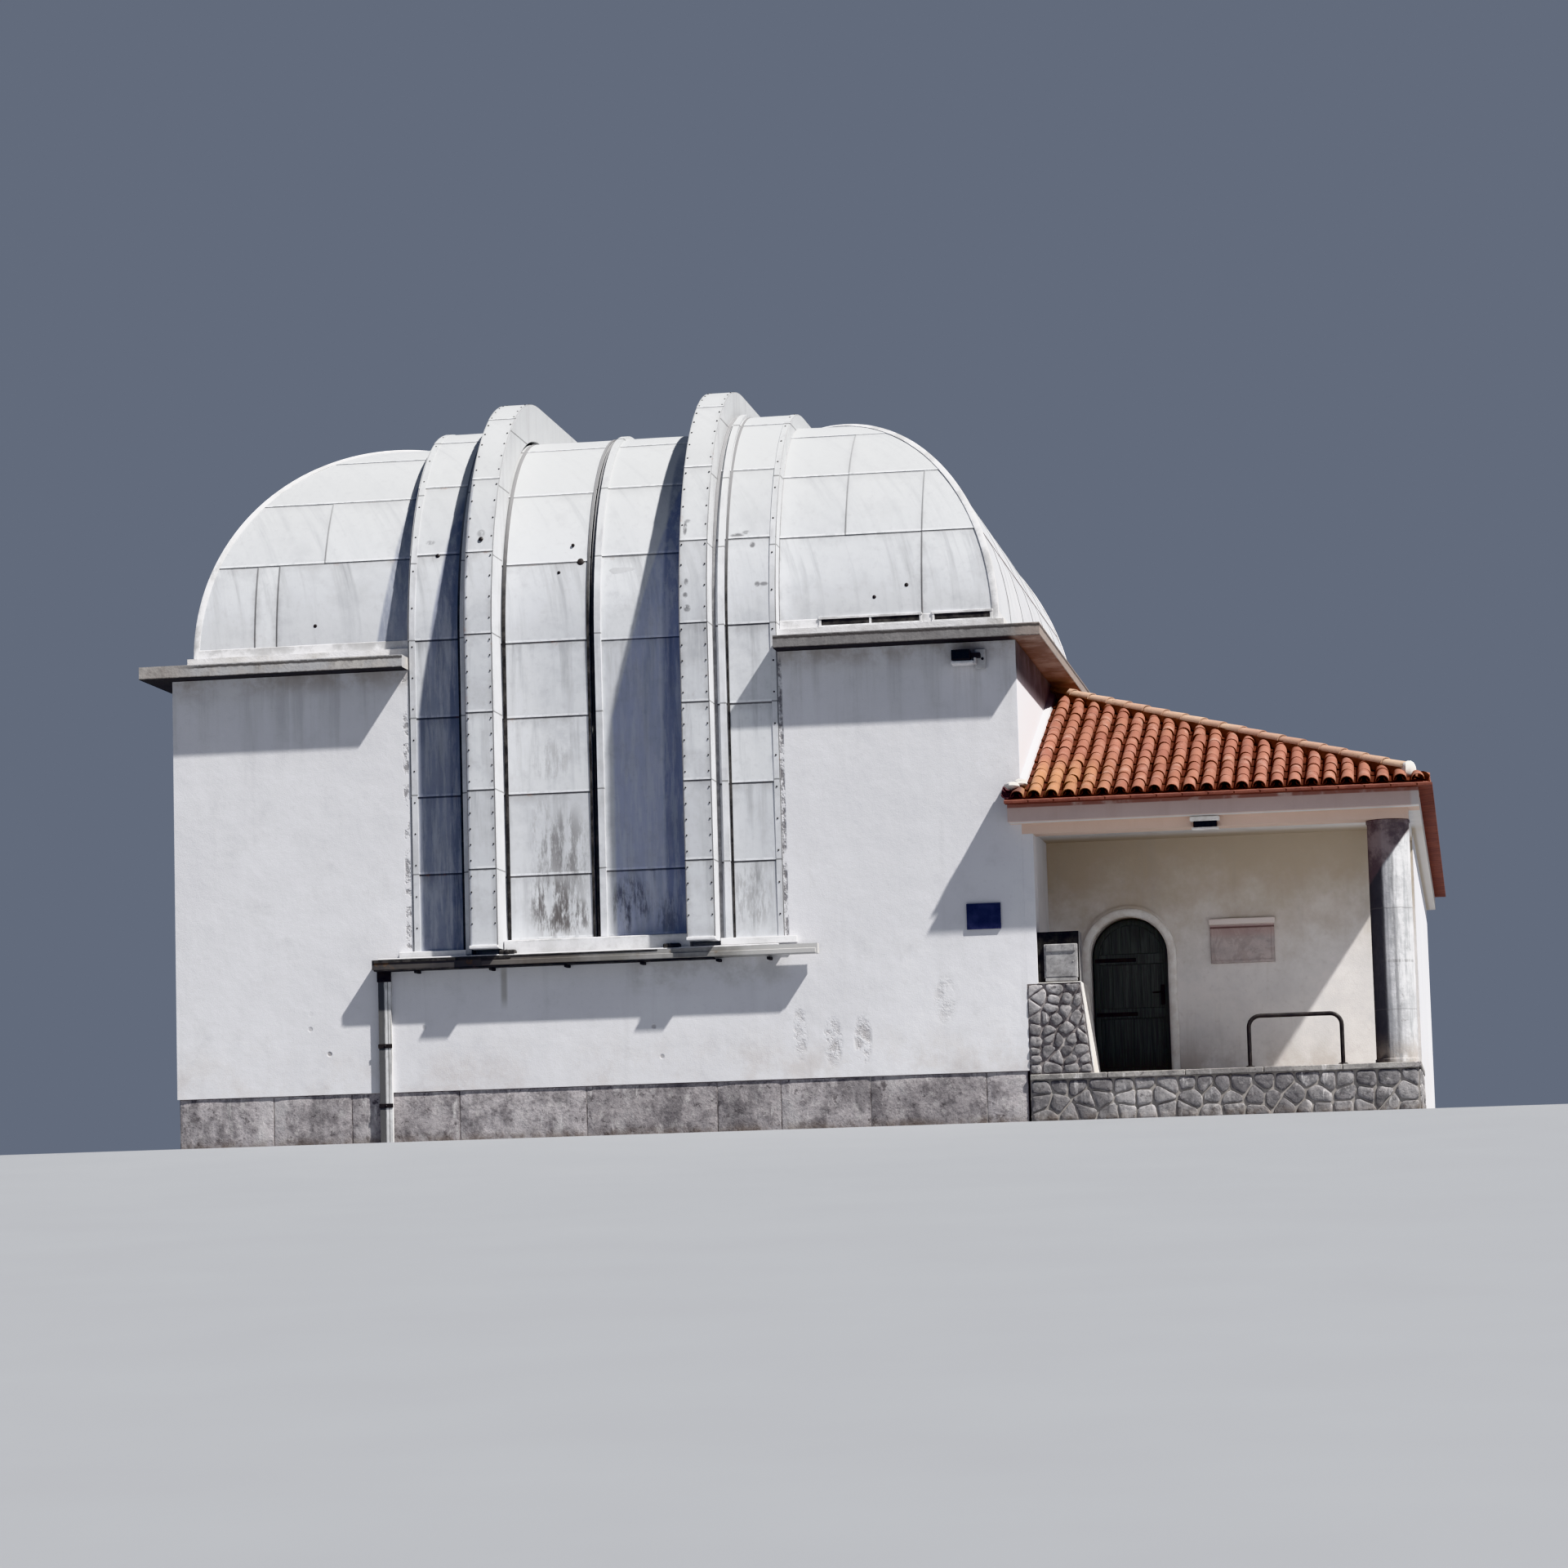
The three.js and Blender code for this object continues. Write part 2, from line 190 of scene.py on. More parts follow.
def outward(pts, faces):
    mid = Vector((0, 0, 0))
    for p in pts:
        mid += Vector(p)
    mid /= len(pts)
    done = []
    for f in faces:
        q = [Vector(pts[i]) for i in f]
        n = (q[1] - q[0]).cross(q[2] - q[1])
        done.append(f if n.dot(sum(q, Vector((0, 0, 0))) / len(q) - mid) > 0 else f[::-1])
    return done


def frame_of(d):
    d = d.normalized()
    u = d.cross(Vector((0, 0, 1)) if abs(d.z) < 0.9 else Vector((1, 0, 0))).normalized()
    return d, u, d.cross(u)


def tube(P, pts, r, n=14, a=(0.0, 0.0, 0.0)):
    """A round bar along a line of points, closed at its ends."""
    pts = [Vector(p) for p in pts]
    _, u, v = frame_of(pts[1] - pts[0])
    verts, faces = [], []
    for i, p in enumerate(pts):
        t = (pts[min(i + 1, len(pts) - 1)] - pts[max(i - 1, 0)]).normalized()
        u = (u - t * u.dot(t)).normalized()
        v = t.cross(u)
        rr = r[i] if isinstance(r, (list, tuple)) else r
        verts += [p + u * (rr * math.cos(2 * math.pi * k / n)) + v * (rr * math.sin(2 * math.pi * k / n)) for k in range(n)]
    for i in range(len(pts) - 1):
        for k in range(n):
            k2 = (k + 1) % n
            faces.append((i * n + k, i * n + k2, (i + 1) * n + k2, (i + 1) * n + k))
    faces.append(tuple(reversed(range(n))))
    faces.append(tuple(range((len(pts) - 1) * n, len(pts) * n)))
    P.add(verts, faces, a)


def stud(P, c, d, r, h, n=8):
    """A low round head on a surface."""
    c = Vector(c)
    d, u, v = frame_of(Vector(d))
    verts, faces = [], []
    for rr, hh in ((r, -0.001), (r, h * 0.45), (r * 0.62, h * 0.9)):
        verts += [c + u * (rr * math.cos(2 * math.pi * k / n)) + v * (rr * math.sin(2 * math.pi * k / n)) + d * hh for k in range(n)]
    verts.append(c + d * h)
    for i in range(2):
        for k in range(n):
            k2 = (k + 1) % n
            faces.append((i * n + k, i * n + k2, (i + 1) * n + k2, (i + 1) * n + k))
    faces += [(2 * n + k, 2 * n + (k + 1) % n, 3 * n) for k in range(n)]
    P.add(verts, faces)


def prism(P, poly, y0, y1, c=0.0):
    """An (x, z) outline, counter-clockwise seen from the front, run from y0 (front) to y1."""
    n = len(poly)
    verts = [(x, y0, z) for x, z in poly] + [(x, y1, z) for x, z in poly]
    faces = [tuple(range(n)), tuple(reversed(range(n, 2 * n)))]
    faces += [(i, i + n, (i + 1) % n + n, (i + 1) % n) for i in range(n)]
    P.add(verts, faces)


def sweep(P, path, out, y, profile):
    """A closed (out, forward) profile along an (x, z) path; forward is -y."""
    n, k = len(path), len(profile)
    verts, faces = [], []
    for (x, z), (nx, nz) in zip(path, out):
        verts += [(x + nx * o, y - f, z + nz * o) for o, f in profile]
    for i in range(n - 1):
        for j in range(k):
            j2 = (j + 1) % k
            faces.append((i * k + j, i * k + j2, (i + 1) * k + j2, (i + 1) * k + j))
    faces.append(tuple(reversed(range(k))))
    faces.append(tuple(range((n - 1) * k, n * k)))
    P.add(verts, faces)


# ---------------------------------------------------------------- material helper
class Shade:
    """Builds one procedural material. p, x, y, z are the drawing frame of the building at rest."""

    def __init__(self, name, rough=0.7, metal=0.0, spec=0.35):
        self.m = bpy.data.materials.new(name)
        self.m.use_nodes = True
        self.t = self.m.node_tree
        self.b = self.t.nodes["Principled BSDF"]
        self.b.inputs["Metallic"].default_value = metal
        self.b.inputs["Roughness"].default_value = rough
        self.b.inputs["Specular IOR Level"].default_value = spec
        self.p = self.vec("ADD", self.node("ShaderNodeTexCoord").outputs["Object"], (OX, OY, 0))
        s = self.node("ShaderNodeSeparateXYZ")
        self.put(s.inputs[0], self.p)
        self.x, self.y, self.z = s.outputs
        self.last = None

    def node(self, kind, **kw):
        n = self.t.nodes.new(kind)
        for k, v in kw.items():
            setattr(n, k, v)
        return n

    def put(self, socket, value):
        if isinstance(value, bpy.types.NodeSocket):
            self.t.links.new(value, socket)
        elif isinstance(value, tuple) and len(value) == 3 and socket.type == "RGBA":
            socket.default_value = (*value, 1)
        else:
            socket.default_value = value

    def math(self, op, a, b=0.0, c=0.0, clamp=False):
        n = self.node("ShaderNodeMath", operation=op, use_clamp=clamp)
        for k, v in enumerate((a, b, c)):
            self.put(n.inputs[k], v)
        return n.outputs[0]

    def mul(self, *a):
        r = a[0]
        for v in a[1:]:
            r = self.math("MULTIPLY", r, v)
        return r

    def add(self, a, b):
        return self.math("ADD", a, b, clamp=False)

    def top(self, *a):
        r = a[0]
        for v in a[1:]:
            r = self.math("MAXIMUM", r, v)
        return r

    def inv(self, a):
        return self.math("SUBTRACT", 1.0, a)

    def vec(self, op, a, b):
        n = self.node("ShaderNodeVectorMath", operation=op)
        self.put(n.inputs[0], a)
        self.put(n.inputs[1], b)
        return n.outputs[0]

    def mkvec(self, x, y, z):
        n = self.node("ShaderNodeCombineXYZ")
        for k, v in enumerate((x, y, z)):
            self.put(n.inputs[k], v)
        return n.outputs[0]

    def noise(self, scale, detail=3.0, rough=0.55, stretch=None, shift=None, dist=0.0, at=None):
        v = at if at is not None else self.p
        if stretch:
            v = self.vec("MULTIPLY", v, stretch)
        if shift:
            v = self.vec("ADD", v, shift)
        n = self.node("ShaderNodeTexNoise")
        self.put(n.inputs["Vector"], v)
        n.inputs["Scale"].default_value = scale
        n.inputs["Detail"].default_value = detail
        n.inputs["Roughness"].default_value = rough
        n.inputs["Distortion"].default_value = dist
        return n.outputs[0]

    def cells(self, scale, feature="F1", stretch=None, out=0, rand=1.0, at=None):
        v = at if at is not None else self.p
        if stretch:
            v = self.vec("MULTIPLY", v, stretch)
        n = self.node("ShaderNodeTexVoronoi", feature=feature)
        self.put(n.inputs["Vector"], v)
        n.inputs["Scale"].default_value = scale
        n.inputs["Randomness"].default_value = rand
        return n.outputs[out]

    def step(self, v, lo, hi):
        """0 below lo, 1 above hi, smooth between; with lo above hi it falls instead."""
        n = self.node("ShaderNodeMapRange", interpolation_type="SMOOTHSTEP")
        self.put(n.inputs["Value"], v)
        if lo < hi:
            n.inputs["From Min"].default_value, n.inputs["From Max"].default_value = lo, hi
        else:
            n.inputs["From Min"].default_value, n.inputs["From Max"].default_value = hi, lo
            n.inputs["To Min"].default_value, n.inputs["To Max"].default_value = 1.0, 0.0
        return n.outputs[0]

    def between(self, v, lo, hi, soft):
        return self.mul(self.step(v, lo - soft, lo + soft), self.step(v, hi + soft, hi - soft))

    def blob(self, cx, cz, rx, rz, hard=0.5, u=None, w=None):
        u = self.x if u is None else u
        w = self.z if w is None else w
        du = self.math("DIVIDE", self.math("SUBTRACT", u, cx), rx)
        dw = self.math("DIVIDE", self.math("SUBTRACT", w, cz), rz)
        r = self.math("ADD", self.mul(du, du), self.mul(dw, dw))
        return self.step(r, 1.0, hard * 0.999)

    def mix(self, f, a, b, blend="MIX"):
        n = self.node("ShaderNodeMix", data_type="RGBA", blend_type=blend)
        self.put(n.inputs[0], f)
        self.put(n.inputs[6], a)
        self.put(n.inputs[7], b)
        return n.outputs[2]

    def attr(self, name):
        n = self.node("ShaderNodeAttribute", attribute_name=name)
        s = self.node("ShaderNodeSeparateXYZ")
        self.put(s.inputs[0], n.outputs["Vector"])
        return s.outputs[0], s.outputs[1], s.outputs[2]

    def bump(self, h, dist, strength=1.0):
        n = self.node("ShaderNodeBump")
        n.inputs["Strength"].default_value = strength
        n.inputs["Distance"].default_value = dist
        self.put(n.inputs["Height"], h)
        if self.last is not None:
            self.put(n.inputs["Normal"], self.last)
        self.last = n.outputs[0]

    def done(self, color=None, rough=None, metal=None):
        if color is not None:
            self.put(self.b.inputs["Base Color"], color)
        if rough is not None:
            self.put(self.b.inputs["Roughness"], rough)
        if metal is not None:
            self.put(self.b.inputs["Metallic"], metal)
        if self.last is not None:
            self.put(self.b.inputs["Normal"], self.last)
        return self.m

    def level(self, f, lo, hi):
        """A number from lo to hi along f."""
        return self.math("MULTIPLY_ADD", f, hi - lo, lo)


# ---------------------------------------------------------------- materials
def white_render():
    s = Shade("white_render", 0.85, spec=0.2)
    cloud = s.step(s.noise(0.45, 4, 0.6), 0.35, 0.68)
    mid = s.noise(2.6, 6, 0.68)
    fine = s.noise(17.0, 4, 0.6)
    streak = s.noise(1.0, 5, 0.62, stretch=(4.5, 4.5, 0.28))
    col = s.mix(cloud, (0.735, 0.735, 0.765), (0.80, 0.80, 0.825))
    col = s.mix(s.mul(s.step(mid, 0.5, 0.74), 0.5), col, (0.64, 0.64, 0.665))
    col = s.mix(s.mul(s.step(fine, 0.55, 0.75), 0.22), col, (0.60, 0.60, 0.62))
    # washed grime under the cornice, brownest close to it
    high = s.mul(s.step(s.z, 4.2, 5.5), s.step(streak, 0.44, 0.68))
    col = s.mix(s.mul(high, 0.38), col, (0.43, 0.42, 0.42))
    brim = s.mul(s.step(s.z, 5.28, 5.58), s.step(mid, 0.36, 0.60))
    col = s.mix(s.mul(brim, 0.55), col, (0.40, 0.35, 0.31))
    # long faint vertical washes
    col = s.mix(s.mul(s.step(streak, 0.56, 0.78), 0.25), col, (0.55, 0.55, 0.57))
    # splash dirt and small knocks near the ground
    low = s.mul(s.step(s.z, 1.35, 0.62), s.step(s.noise(1.6, 6, 0.7, shift=(3, 1, 7)), 0.42, 0.70))
    col = s.mix(s.mul(low, 0.42), col, (0.50, 0.44, 0.40))
    pits = s.step(s.cells(3.1), 0.115, 0.05)
    pits = s.mul(pits, s.step(s.z, 1.7, 1.0), s.step(s.noise(0.8, 2), 0.47, 0.56))
    col = s.mix(s.mul(pits, 0.75), col, (0.28, 0.26, 0.26))
    # flaked patches right of the slit, low on the front
    rag = s.noise(5.0, 6, 0.75)
    worn = s.top(s.blob(2.80, 1.02, 0.13, 0.34, 0.1), s.blob(3.15, 1.03, 0.12, 0.34, 0.1),
                 s.mul(s.blob(2.42, 1.15, 0.10, 0.40, 0.1), 0.6), s.mul(s.blob(4.12, 1.45, 0.16, 0.34, 0.1), 0.45))
    worn = s.mul(worn, s.step(rag, 0.42, 0.62), s.step(s.y, 0.3, 0.1))
    col = s.mix(s.mul(worn, 0.62), col, (0.36, 0.33, 0.325))
    # the ragged joint beside the right band, and a softer one at the left
    gap = s.mul(s.between(s.x, 2.262, 2.315, 0.012), s.step(s.noise(7.0, 5, 0.75, stretch=(1, 1, 0.7)), 0.44, 0.58))
    gap = s.top(gap, s.mul(s.between(s.x, -2.25, -2.185, 0.012), s.step(s.noise(6.0, 5, 0.7, shift=(5, 0, 2)), 0.50, 0.62), 0.8))
    gap = s.mul(gap, s.step(s.z, 2.1, 2.3), s.step(s.z, 5.6, 5.4), s.top(s.step(s.y, 0.02, 0.0), s.step(s.y, 10.13, 10.149)))
    col = s.mix(s.mul(gap, 0.85), col, (0.17, 0.16, 0.17))
    # damp streak and mould under the ledge
    wet = s.mul(s.between(s.x, -1.12, -1.05, 0.02), s.between(s.z, 1.60, 2.03, 0.10))
    wet = s.top(wet, s.mul(s.between(s.x, 0.4, 2.3, 0.15), s.between(s.z, 1.7, 2.05, 0.12), s.step(mid, 0.38, 0.60), 0.5))
    wet = s.mul(wet, s.step(s.y, 0.3, 0.1))
    col = s.mix(s.mul(wet, 0.55), col, (0.31, 0.29, 0.25))
    # the sunlit face above the tiled roof is painted lighter, and painted shade darkens it right under the slab, where
    # the slab's shadow falls
    above = s.mul(s.step(s.x, 5.069, 5.0735), s.step(s.z, 3.6, 3.7))
    col = s.mix(s.mul(above, s.step(s.z, 5.30, 5.05)), col, (0.88, 0.89, 0.93))
    col = s.mix(s.mul(above, s.step(s.z, 5.10, 5.32), 0.9), col, s.mix(s.step(mid, 0.35, 0.65), (0.22, 0.215, 0.22), (0.15, 0.145, 0.148)))
    s.bump(s.noise(70.0, 3, 0.6), 0.004, 0.35)
    s.bump(s.noise(3.2, 4, 0.55), 0.02, 0.35)
    s.bump(s.top(pits, worn, gap), -0.01, 0.8)
    return s.done(col, s.level(mid, 0.78, 0.95))


def column_render():
    s = Shade("column_render", 0.85, spec=0.2)
    mid = s.noise(3.4, 6, 0.7)
    run = s.noise(1.0, 5, 0.65, stretch=(9, 9, 0.7))
    col = s.mix(s.step(mid, 0.35, 0.62), (0.80, 0.80, 0.82), (0.50, 0.505, 0.52))
    col = s.mix(s.mul(s.step(run, 0.43, 0.62), 0.72), col, (0.31, 0.32, 0.335))
    col = s.mix(s.mul(s.step(s.noise(2.1, 4, 0.6, shift=(1, 6, 3)), 0.46, 0.62), s.step(s.x, 9.43, 9.36), 0.6), col, (0.34, 0.345, 0.36))
    col = s.mix(s.mul(s.step(s.noise(7.0, 5, 0.75, shift=(2, 8, 0)), 0.60, 0.70), 0.7), col, (0.22, 0.21, 0.21))
    # painted shade on the side away from the light, darkest at the left limb, with a thin dark mark near the middle
    soft = s.add(s.x, s.mul(s.math("SUBTRACT", mid, 0.5), 0.10))
    col = s.mix(s.mul(s.step(soft, 9.34, 9.12), 0.62), col, (0.30, 0.30, 0.32))
    col = s.mix(s.mul(s.between(soft, 9.27, 9.31, 0.015), s.step(run, 0.40, 0.55), 0.55), col, (0.20, 0.20, 0.21))
    painted_shade_limb = s.step(s.add(s.x, s.mul(s.math("SUBTRACT", mid, 0.5), 0.03)), 9.196, 9.162)
    col = s.mix(s.mul(painted_shade_limb, 0.88), col, (0.05, 0.048, 0.052))
    # painted shadow of the eave over the top of the column, above a slanting line along the shadow's edge
    high = s.mul(s.step(s.math("SUBTRACT", s.z, s.mul(s.math("SUBTRACT", s.x, 9.1), 1.29)), 2.66, 2.72), s.step(s.y, 0.30, 0.24))
    col = s.mix(s.mul(high, 0.9), col, s.mix(s.step(mid, 0.4, 0.62), (0.30, 0.245, 0.245), (0.15, 0.12, 0.125)))
    wob = s.add(s.z, s.mul(s.math("SUBTRACT", run, 0.5), 0.03))
    ring = s.top(s.between(wob, 2.305, 2.317, 0.005), s.mul(s.between(wob, 1.690, 1.722, 0.008), s.step(run, 0.44, 0.54)), s.between(wob, 1.150, 1.160, 0.005))
    col = s.mix(s.mul(ring, 0.5), col, (0.16, 0.155, 0.155))
    col = s.mix(s.mul(s.step(s.z, 0.95, 0.55), s.step(mid, 0.35, 0.6), 0.6), col, (0.42, 0.36, 0.31))
    s.bump(s.noise(60.0, 3, 0.6), 0.004, 0.4)
    s.bump(mid, 0.03, 0.5)
    return s.done(col, 0.88)


def porch_render():
    s = Shade("porch_render", 0.85, spec=0.2)
    mid = s.noise(2.2, 6, 0.66)
    fine = s.noise(15.0, 4, 0.6)
    run = s.noise(1.0, 5, 0.62, stretch=(4.0, 4.0, 0.35))
    col = s.mix(s.step(mid, 0.3, 0.7), (0.80, 0.78, 0.77), (0.70, 0.69, 0.69))
    # warm brown high up under the ceiling: partly stain, partly painted shade and painted warm bounce light
    high = s.mul(s.step(s.add(s.z, s.mul(s.math("SUBTRACT", mid, 0.5), 1.6)), 1.7, 3.35), s.step(s.y, 2.0, 2.7))
    col = s.mix(s.mul(high, 0.85), col, (0.50, 0.42, 0.32))
    col = s.mix(s.mul(s.step(run, 0.52, 0.74), 0.30), col, (0.46, 0.43, 0.40))
    col = s.mix(s.mul(s.step(fine, 0.55, 0.75), 0.22), col, (0.50, 0.47, 0.45))
    # boxed eave greyer and pinkish, with a brick-coloured line under the tiles
    eave = s.step(s.y, -0.18, -0.3)
    col = s.mix(s.mul(eave, 0.66), col, (0.62, 0.43, 0.37))
    col = s.mix(s.mul(s.step(s.x, 9.52, 9.56), 0.7), col, (0.74, 0.72, 0.70))
    line = s.mul(s.step(s.z, 3.595, 3.61), s.step(s.noise(3.0, 4, 0.6), 0.30, 0.5))
    line = s.mul(line, s.top(eave, s.step(s.x, 9.55, 9.6)))
    col = s.mix(s.mul(line, 0.8), col, (0.34, 0.16, 0.13))
    beam = s.mul(s.between(s.y, -0.1, 0.36, 0.02), s.step(s.z, 3.2, 3.32))
    col = s.mix(s.mul(beam, 0.75), col, (0.72, 0.52, 0.41))
    low = s.mul(s.step(s.z, 1.15, 0.6), s.step(mid, 0.36, 0.62))
    col = s.mix(s.mul(low, 0.5), col, (0.46, 0.40, 0.35))
    end = s.mul(s.step(s.x, 9.490, 9.497), s.step(s.y, 2.60, 2.80), s.step(s.z, 3.40, 3.36))
    col = s.mix(end, col, s.mix(s.step(mid, 0.4, 0.7), (0.80, 0.80, 0.825), (0.70, 0.70, 0.725)))
    s.bump(s.noise(60.0, 3, 0.6), 0.004, 0.35)
    s.bump(s.noise(2.8, 4, 0.55), 0.02, 0.3)
    return s.done(col, s.level(mid, 0.78, 0.95))


def cornice_concrete():
    s = Shade("cornice_concrete", 0.9, spec=0.2)
    mid = s.noise(2.2, 6, 0.7)
    fine = s.noise(14.0, 5, 0.7)
    run = s.noise(1.0, 4, 0.6, stretch=(7.0, 7.0, 1.0))
    col = s.mix(s.step(mid, 0.34, 0.66), (0.37, 0.345, 0.33), (0.52, 0.50, 0.48))
    col = s.mix(s.mul(s.step(fine, 0.48, 0.7), 0.5), col, (0.24, 0.22, 0.21))
    col = s.mix(s.mul(s.step(run, 0.5, 0.72), 0.5), col, (0.19, 0.17, 0.16))
    # the left slab keeps more of its white paint
    col = s.mix(s.mul(s.step(s.x, 0.5, -0.5), s.step(s.x, -5.0, -4.6), s.step(mid, 0.62, 0.40)), col, (0.45, 0.45, 0.46))
    col = s.mix(s.mul(s.step(s.x, 2.0, 2.2), 0.62), col, (0.14, 0.14, 0.15))
    # right side and its underside browner
    brown = s.mul(s.step(s.x, 4.9, 5.25), s.step(s.noise(1.3, 4, 0.6, shift=(1, 4, 2)), 0.28, 0.5))
    col = s.mix(s.mul(brown, 0.6), col, (0.40, 0.33, 0.29))
    # a dark line near the top edge of the slab face, and painted shade along its lower edge
    outer = s.top(s.step(s.y, -0.28, -0.31), s.step(s.y, 10.43, 10.46), s.step(s.x, -5.35, -5.385), s.step(s.x, 5.35, 5.385))
    wob = s.mul(s.math("SUBTRACT", fine, 0.5), 0.03)
    zz = s.add(s.z, wob)
    edge = s.mul(outer, s.top(s.mul(s.between(zz, 5.705, 5.738, 0.006), s.step(s.x, -5.0, -4.6)), s.step(zz, 5.618, 5.606)))
    col = s.mix(s.mul(edge, 0.85), col, (0.07, 0.065, 0.065))
    # painted shade on the soffit, near black, with a browner right end
    under = s.step(s.z, 5.603, 5.6012)
    rusty = s.step(s.x, 5.0, 5.12)
    col = s.mix(s.mul(under, 0.92), col, s.mix(rusty, (0.035, 0.033, 0.035), s.mix(s.step(mid, 0.36, 0.62), (0.44, 0.365, 0.325), (0.26, 0.20, 0.175))))
    # the kerb on top is painted white
    kerb = s.step(s.z, 5.752, 5.758)
    col = s.mix(kerb, col, s.mix(s.step(mid, 0.4, 0.7), (0.80, 0.80, 0.82), (0.60, 0.59, 0.58)))
    s.bump(fine, 0.01, 0.6)
    s.bump(mid, 0.03, 0.4)
    return s.done(col, 0.9)


def sheet(name, stains=(), tone=1.0, rust=0.5, painted_shade=(), flecks=()):
    """Old off-white painted sheet: every sheet reads its own edges and run from the piece it is on."""
    s = Shade(name, 0.5, spec=0.45)
    left, right_, num = s.attr("edge")
    low, high, arc = s.attr("flow")
    across = s.add(s.x, s.mul(s.y, 1.0))
    flow = s.mkvec(s.mul(across, 6.5), s.mul(arc, 0.45), s.mul(num, 3.7))
    run = s.noise(1.0, 5, 0.65, at=flow)
    mid = s.noise(2.4, 6, 0.68)
    fine = s.noise(13.0, 5, 0.65)
    tint = s.math("FRACT", s.mul(num, 7.31))
    t = tone
    col = s.mix(tint, (0.60 * t, 0.615 * t, 0.645 * t), (0.70 * t, 0.715 * t, 0.74 * t))
    col = s.mix(s.mul(s.step(mid, 0.45, 0.72), 0.45), col, (0.45 * t, 0.46 * t, 0.485 * t))
    # darker where it lies flatter: partly dust, partly painted shade that holds down the sunlit upper surfaces
    lying = s.step(s.z, 6.2, 8.2)
    col = s.mix(s.mul(lying, 0.85), col, (0.49 * t, 0.50 * t, 0.51 * t))
    clear = s.level(lying, 1.0, 0.40)
    # water runs, strongest just under the lap above
    near = s.level(s.step(high, 0.9, 0.05), 0.35, 1.0)
    col = s.mix(s.mul(s.step(run, 0.47, 0.70), near, clear, 0.72), col, (0.38 * t, 0.39 * t, 0.41 * t))
    col = s.mix(s.mul(s.step(run, 0.62, 0.80), near, clear, 0.6), col, (0.22, 0.22, 0.23))
    col = s.mix(s.mul(s.step(fine, 0.52, 0.75), 0.28), col, (0.42, 0.42, 0.44))
    for cx, cz, rx, rz, k in stains:
        spot = s.mul(s.blob(cx, cz, rx, rz, 0.15), s.step(s.noise(4.2, 6, 0.76, stretch=(2.6, 1, 0.55)), 0.42, 0.60), s.step(s.y, 0.9, 0.7))
        col = s.mix(s.mul(spot, k), col, (0.13, 0.12, 0.12))
    for cx, cz, rx, rz, k in flecks:
        spot = s.mul(s.blob(cx, cz, rx, rz, 0.15), s.step(fine, 0.32, 0.50), s.step(s.y, 4.0, 3.5))
        col = s.mix(s.mul(spot, k), col, (0.15, 0.15, 0.16))
    # laps: dark line under the sheet above and beside the next one, and a painted highlight along the low edge of each
    # sheet
    wob = s.mul(s.math("SUBTRACT", fine, 0.5), 0.014)
    hi = s.add(high, wob)
    side = s.add(s.math("MINIMUM", left, right_), s.mul(wob, 0.6))
    dark = s.top(s.between(hi, 0.028, 0.052, 0.006), s.mul(s.step(side, 0.016, 0.006), 0.9))
    grime = s.mul(s.top(s.step(hi, 0.20, 0.04), s.step(side, 0.09, 0.0)), s.step(mid, 0.3, 0.65))
    col = s.mix(s.mul(grime, clear, 0.42), col, (0.30, 0.30, 0.31))
    lip = s.mul(s.step(low, 0.030, 0.020), s.step(fine, 0.36, 0.55))
    col = s.mix(s.mul(lip, 0.55), col, (0.86, 0.87, 0.90))
    col = s.mix(s.mul(dark, s.level(lying, 0.80, 0.26)), col, (0.085, 0.08, 0.08))
    # painted shade where a rib casts its shadow on the sheets: from x0 to x1, left of or below a slanting line along
    # the shadow's edge, mottled
    shade_mottle = s.step(s.noise(1.0, 6, 0.74, stretch=(11, 11, 1.1), shift=(4, 0, 9)), 0.44, 0.60) if painted_shade else None
    for x0, x1, xa, za, xb, zb, tone_, k in painted_shade:
        lean = (xb - xa) / (zb - za)
        line = s.math("MULTIPLY_ADD", s.math("MAXIMUM", s.math("SUBTRACT", s.z, za), 0.0), lean, xa)
        under = s.step(s.math("SUBTRACT", s.x, line), 0.0, 0.045)
        under = s.mul(under, s.between(s.x, x0, x1, 0.004), s.step(s.z, zb + 0.6, zb), s.step(s.y, 3.2, 2.4))
        col = s.mix(s.mul(under, s.level(shade_mottle, k, k * 0.66), s.level(s.step(mid, 0.36, 0.62), 1.0, 0.88)), col, tone_, "MULTIPLY")
    # a little rust along the laps
    ru = s.mul(s.top(s.step(hi, 0.11, 0.03), s.step(side, 0.05, 0.0)), s.step(s.noise(4.0, 6, 0.75, shift=(9, 2, 4)), 0.58, 0.70))
    col = s.mix(s.mul(ru, rust), col, (0.26, 0.13, 0.075))
    s.bump(s.noise(1.7, 3, 0.5), 0.05, 0.22)
    s.bump(fine, 0.003, 0.3)
    return s.done(col, s.level(mid, 0.42, 0.66))


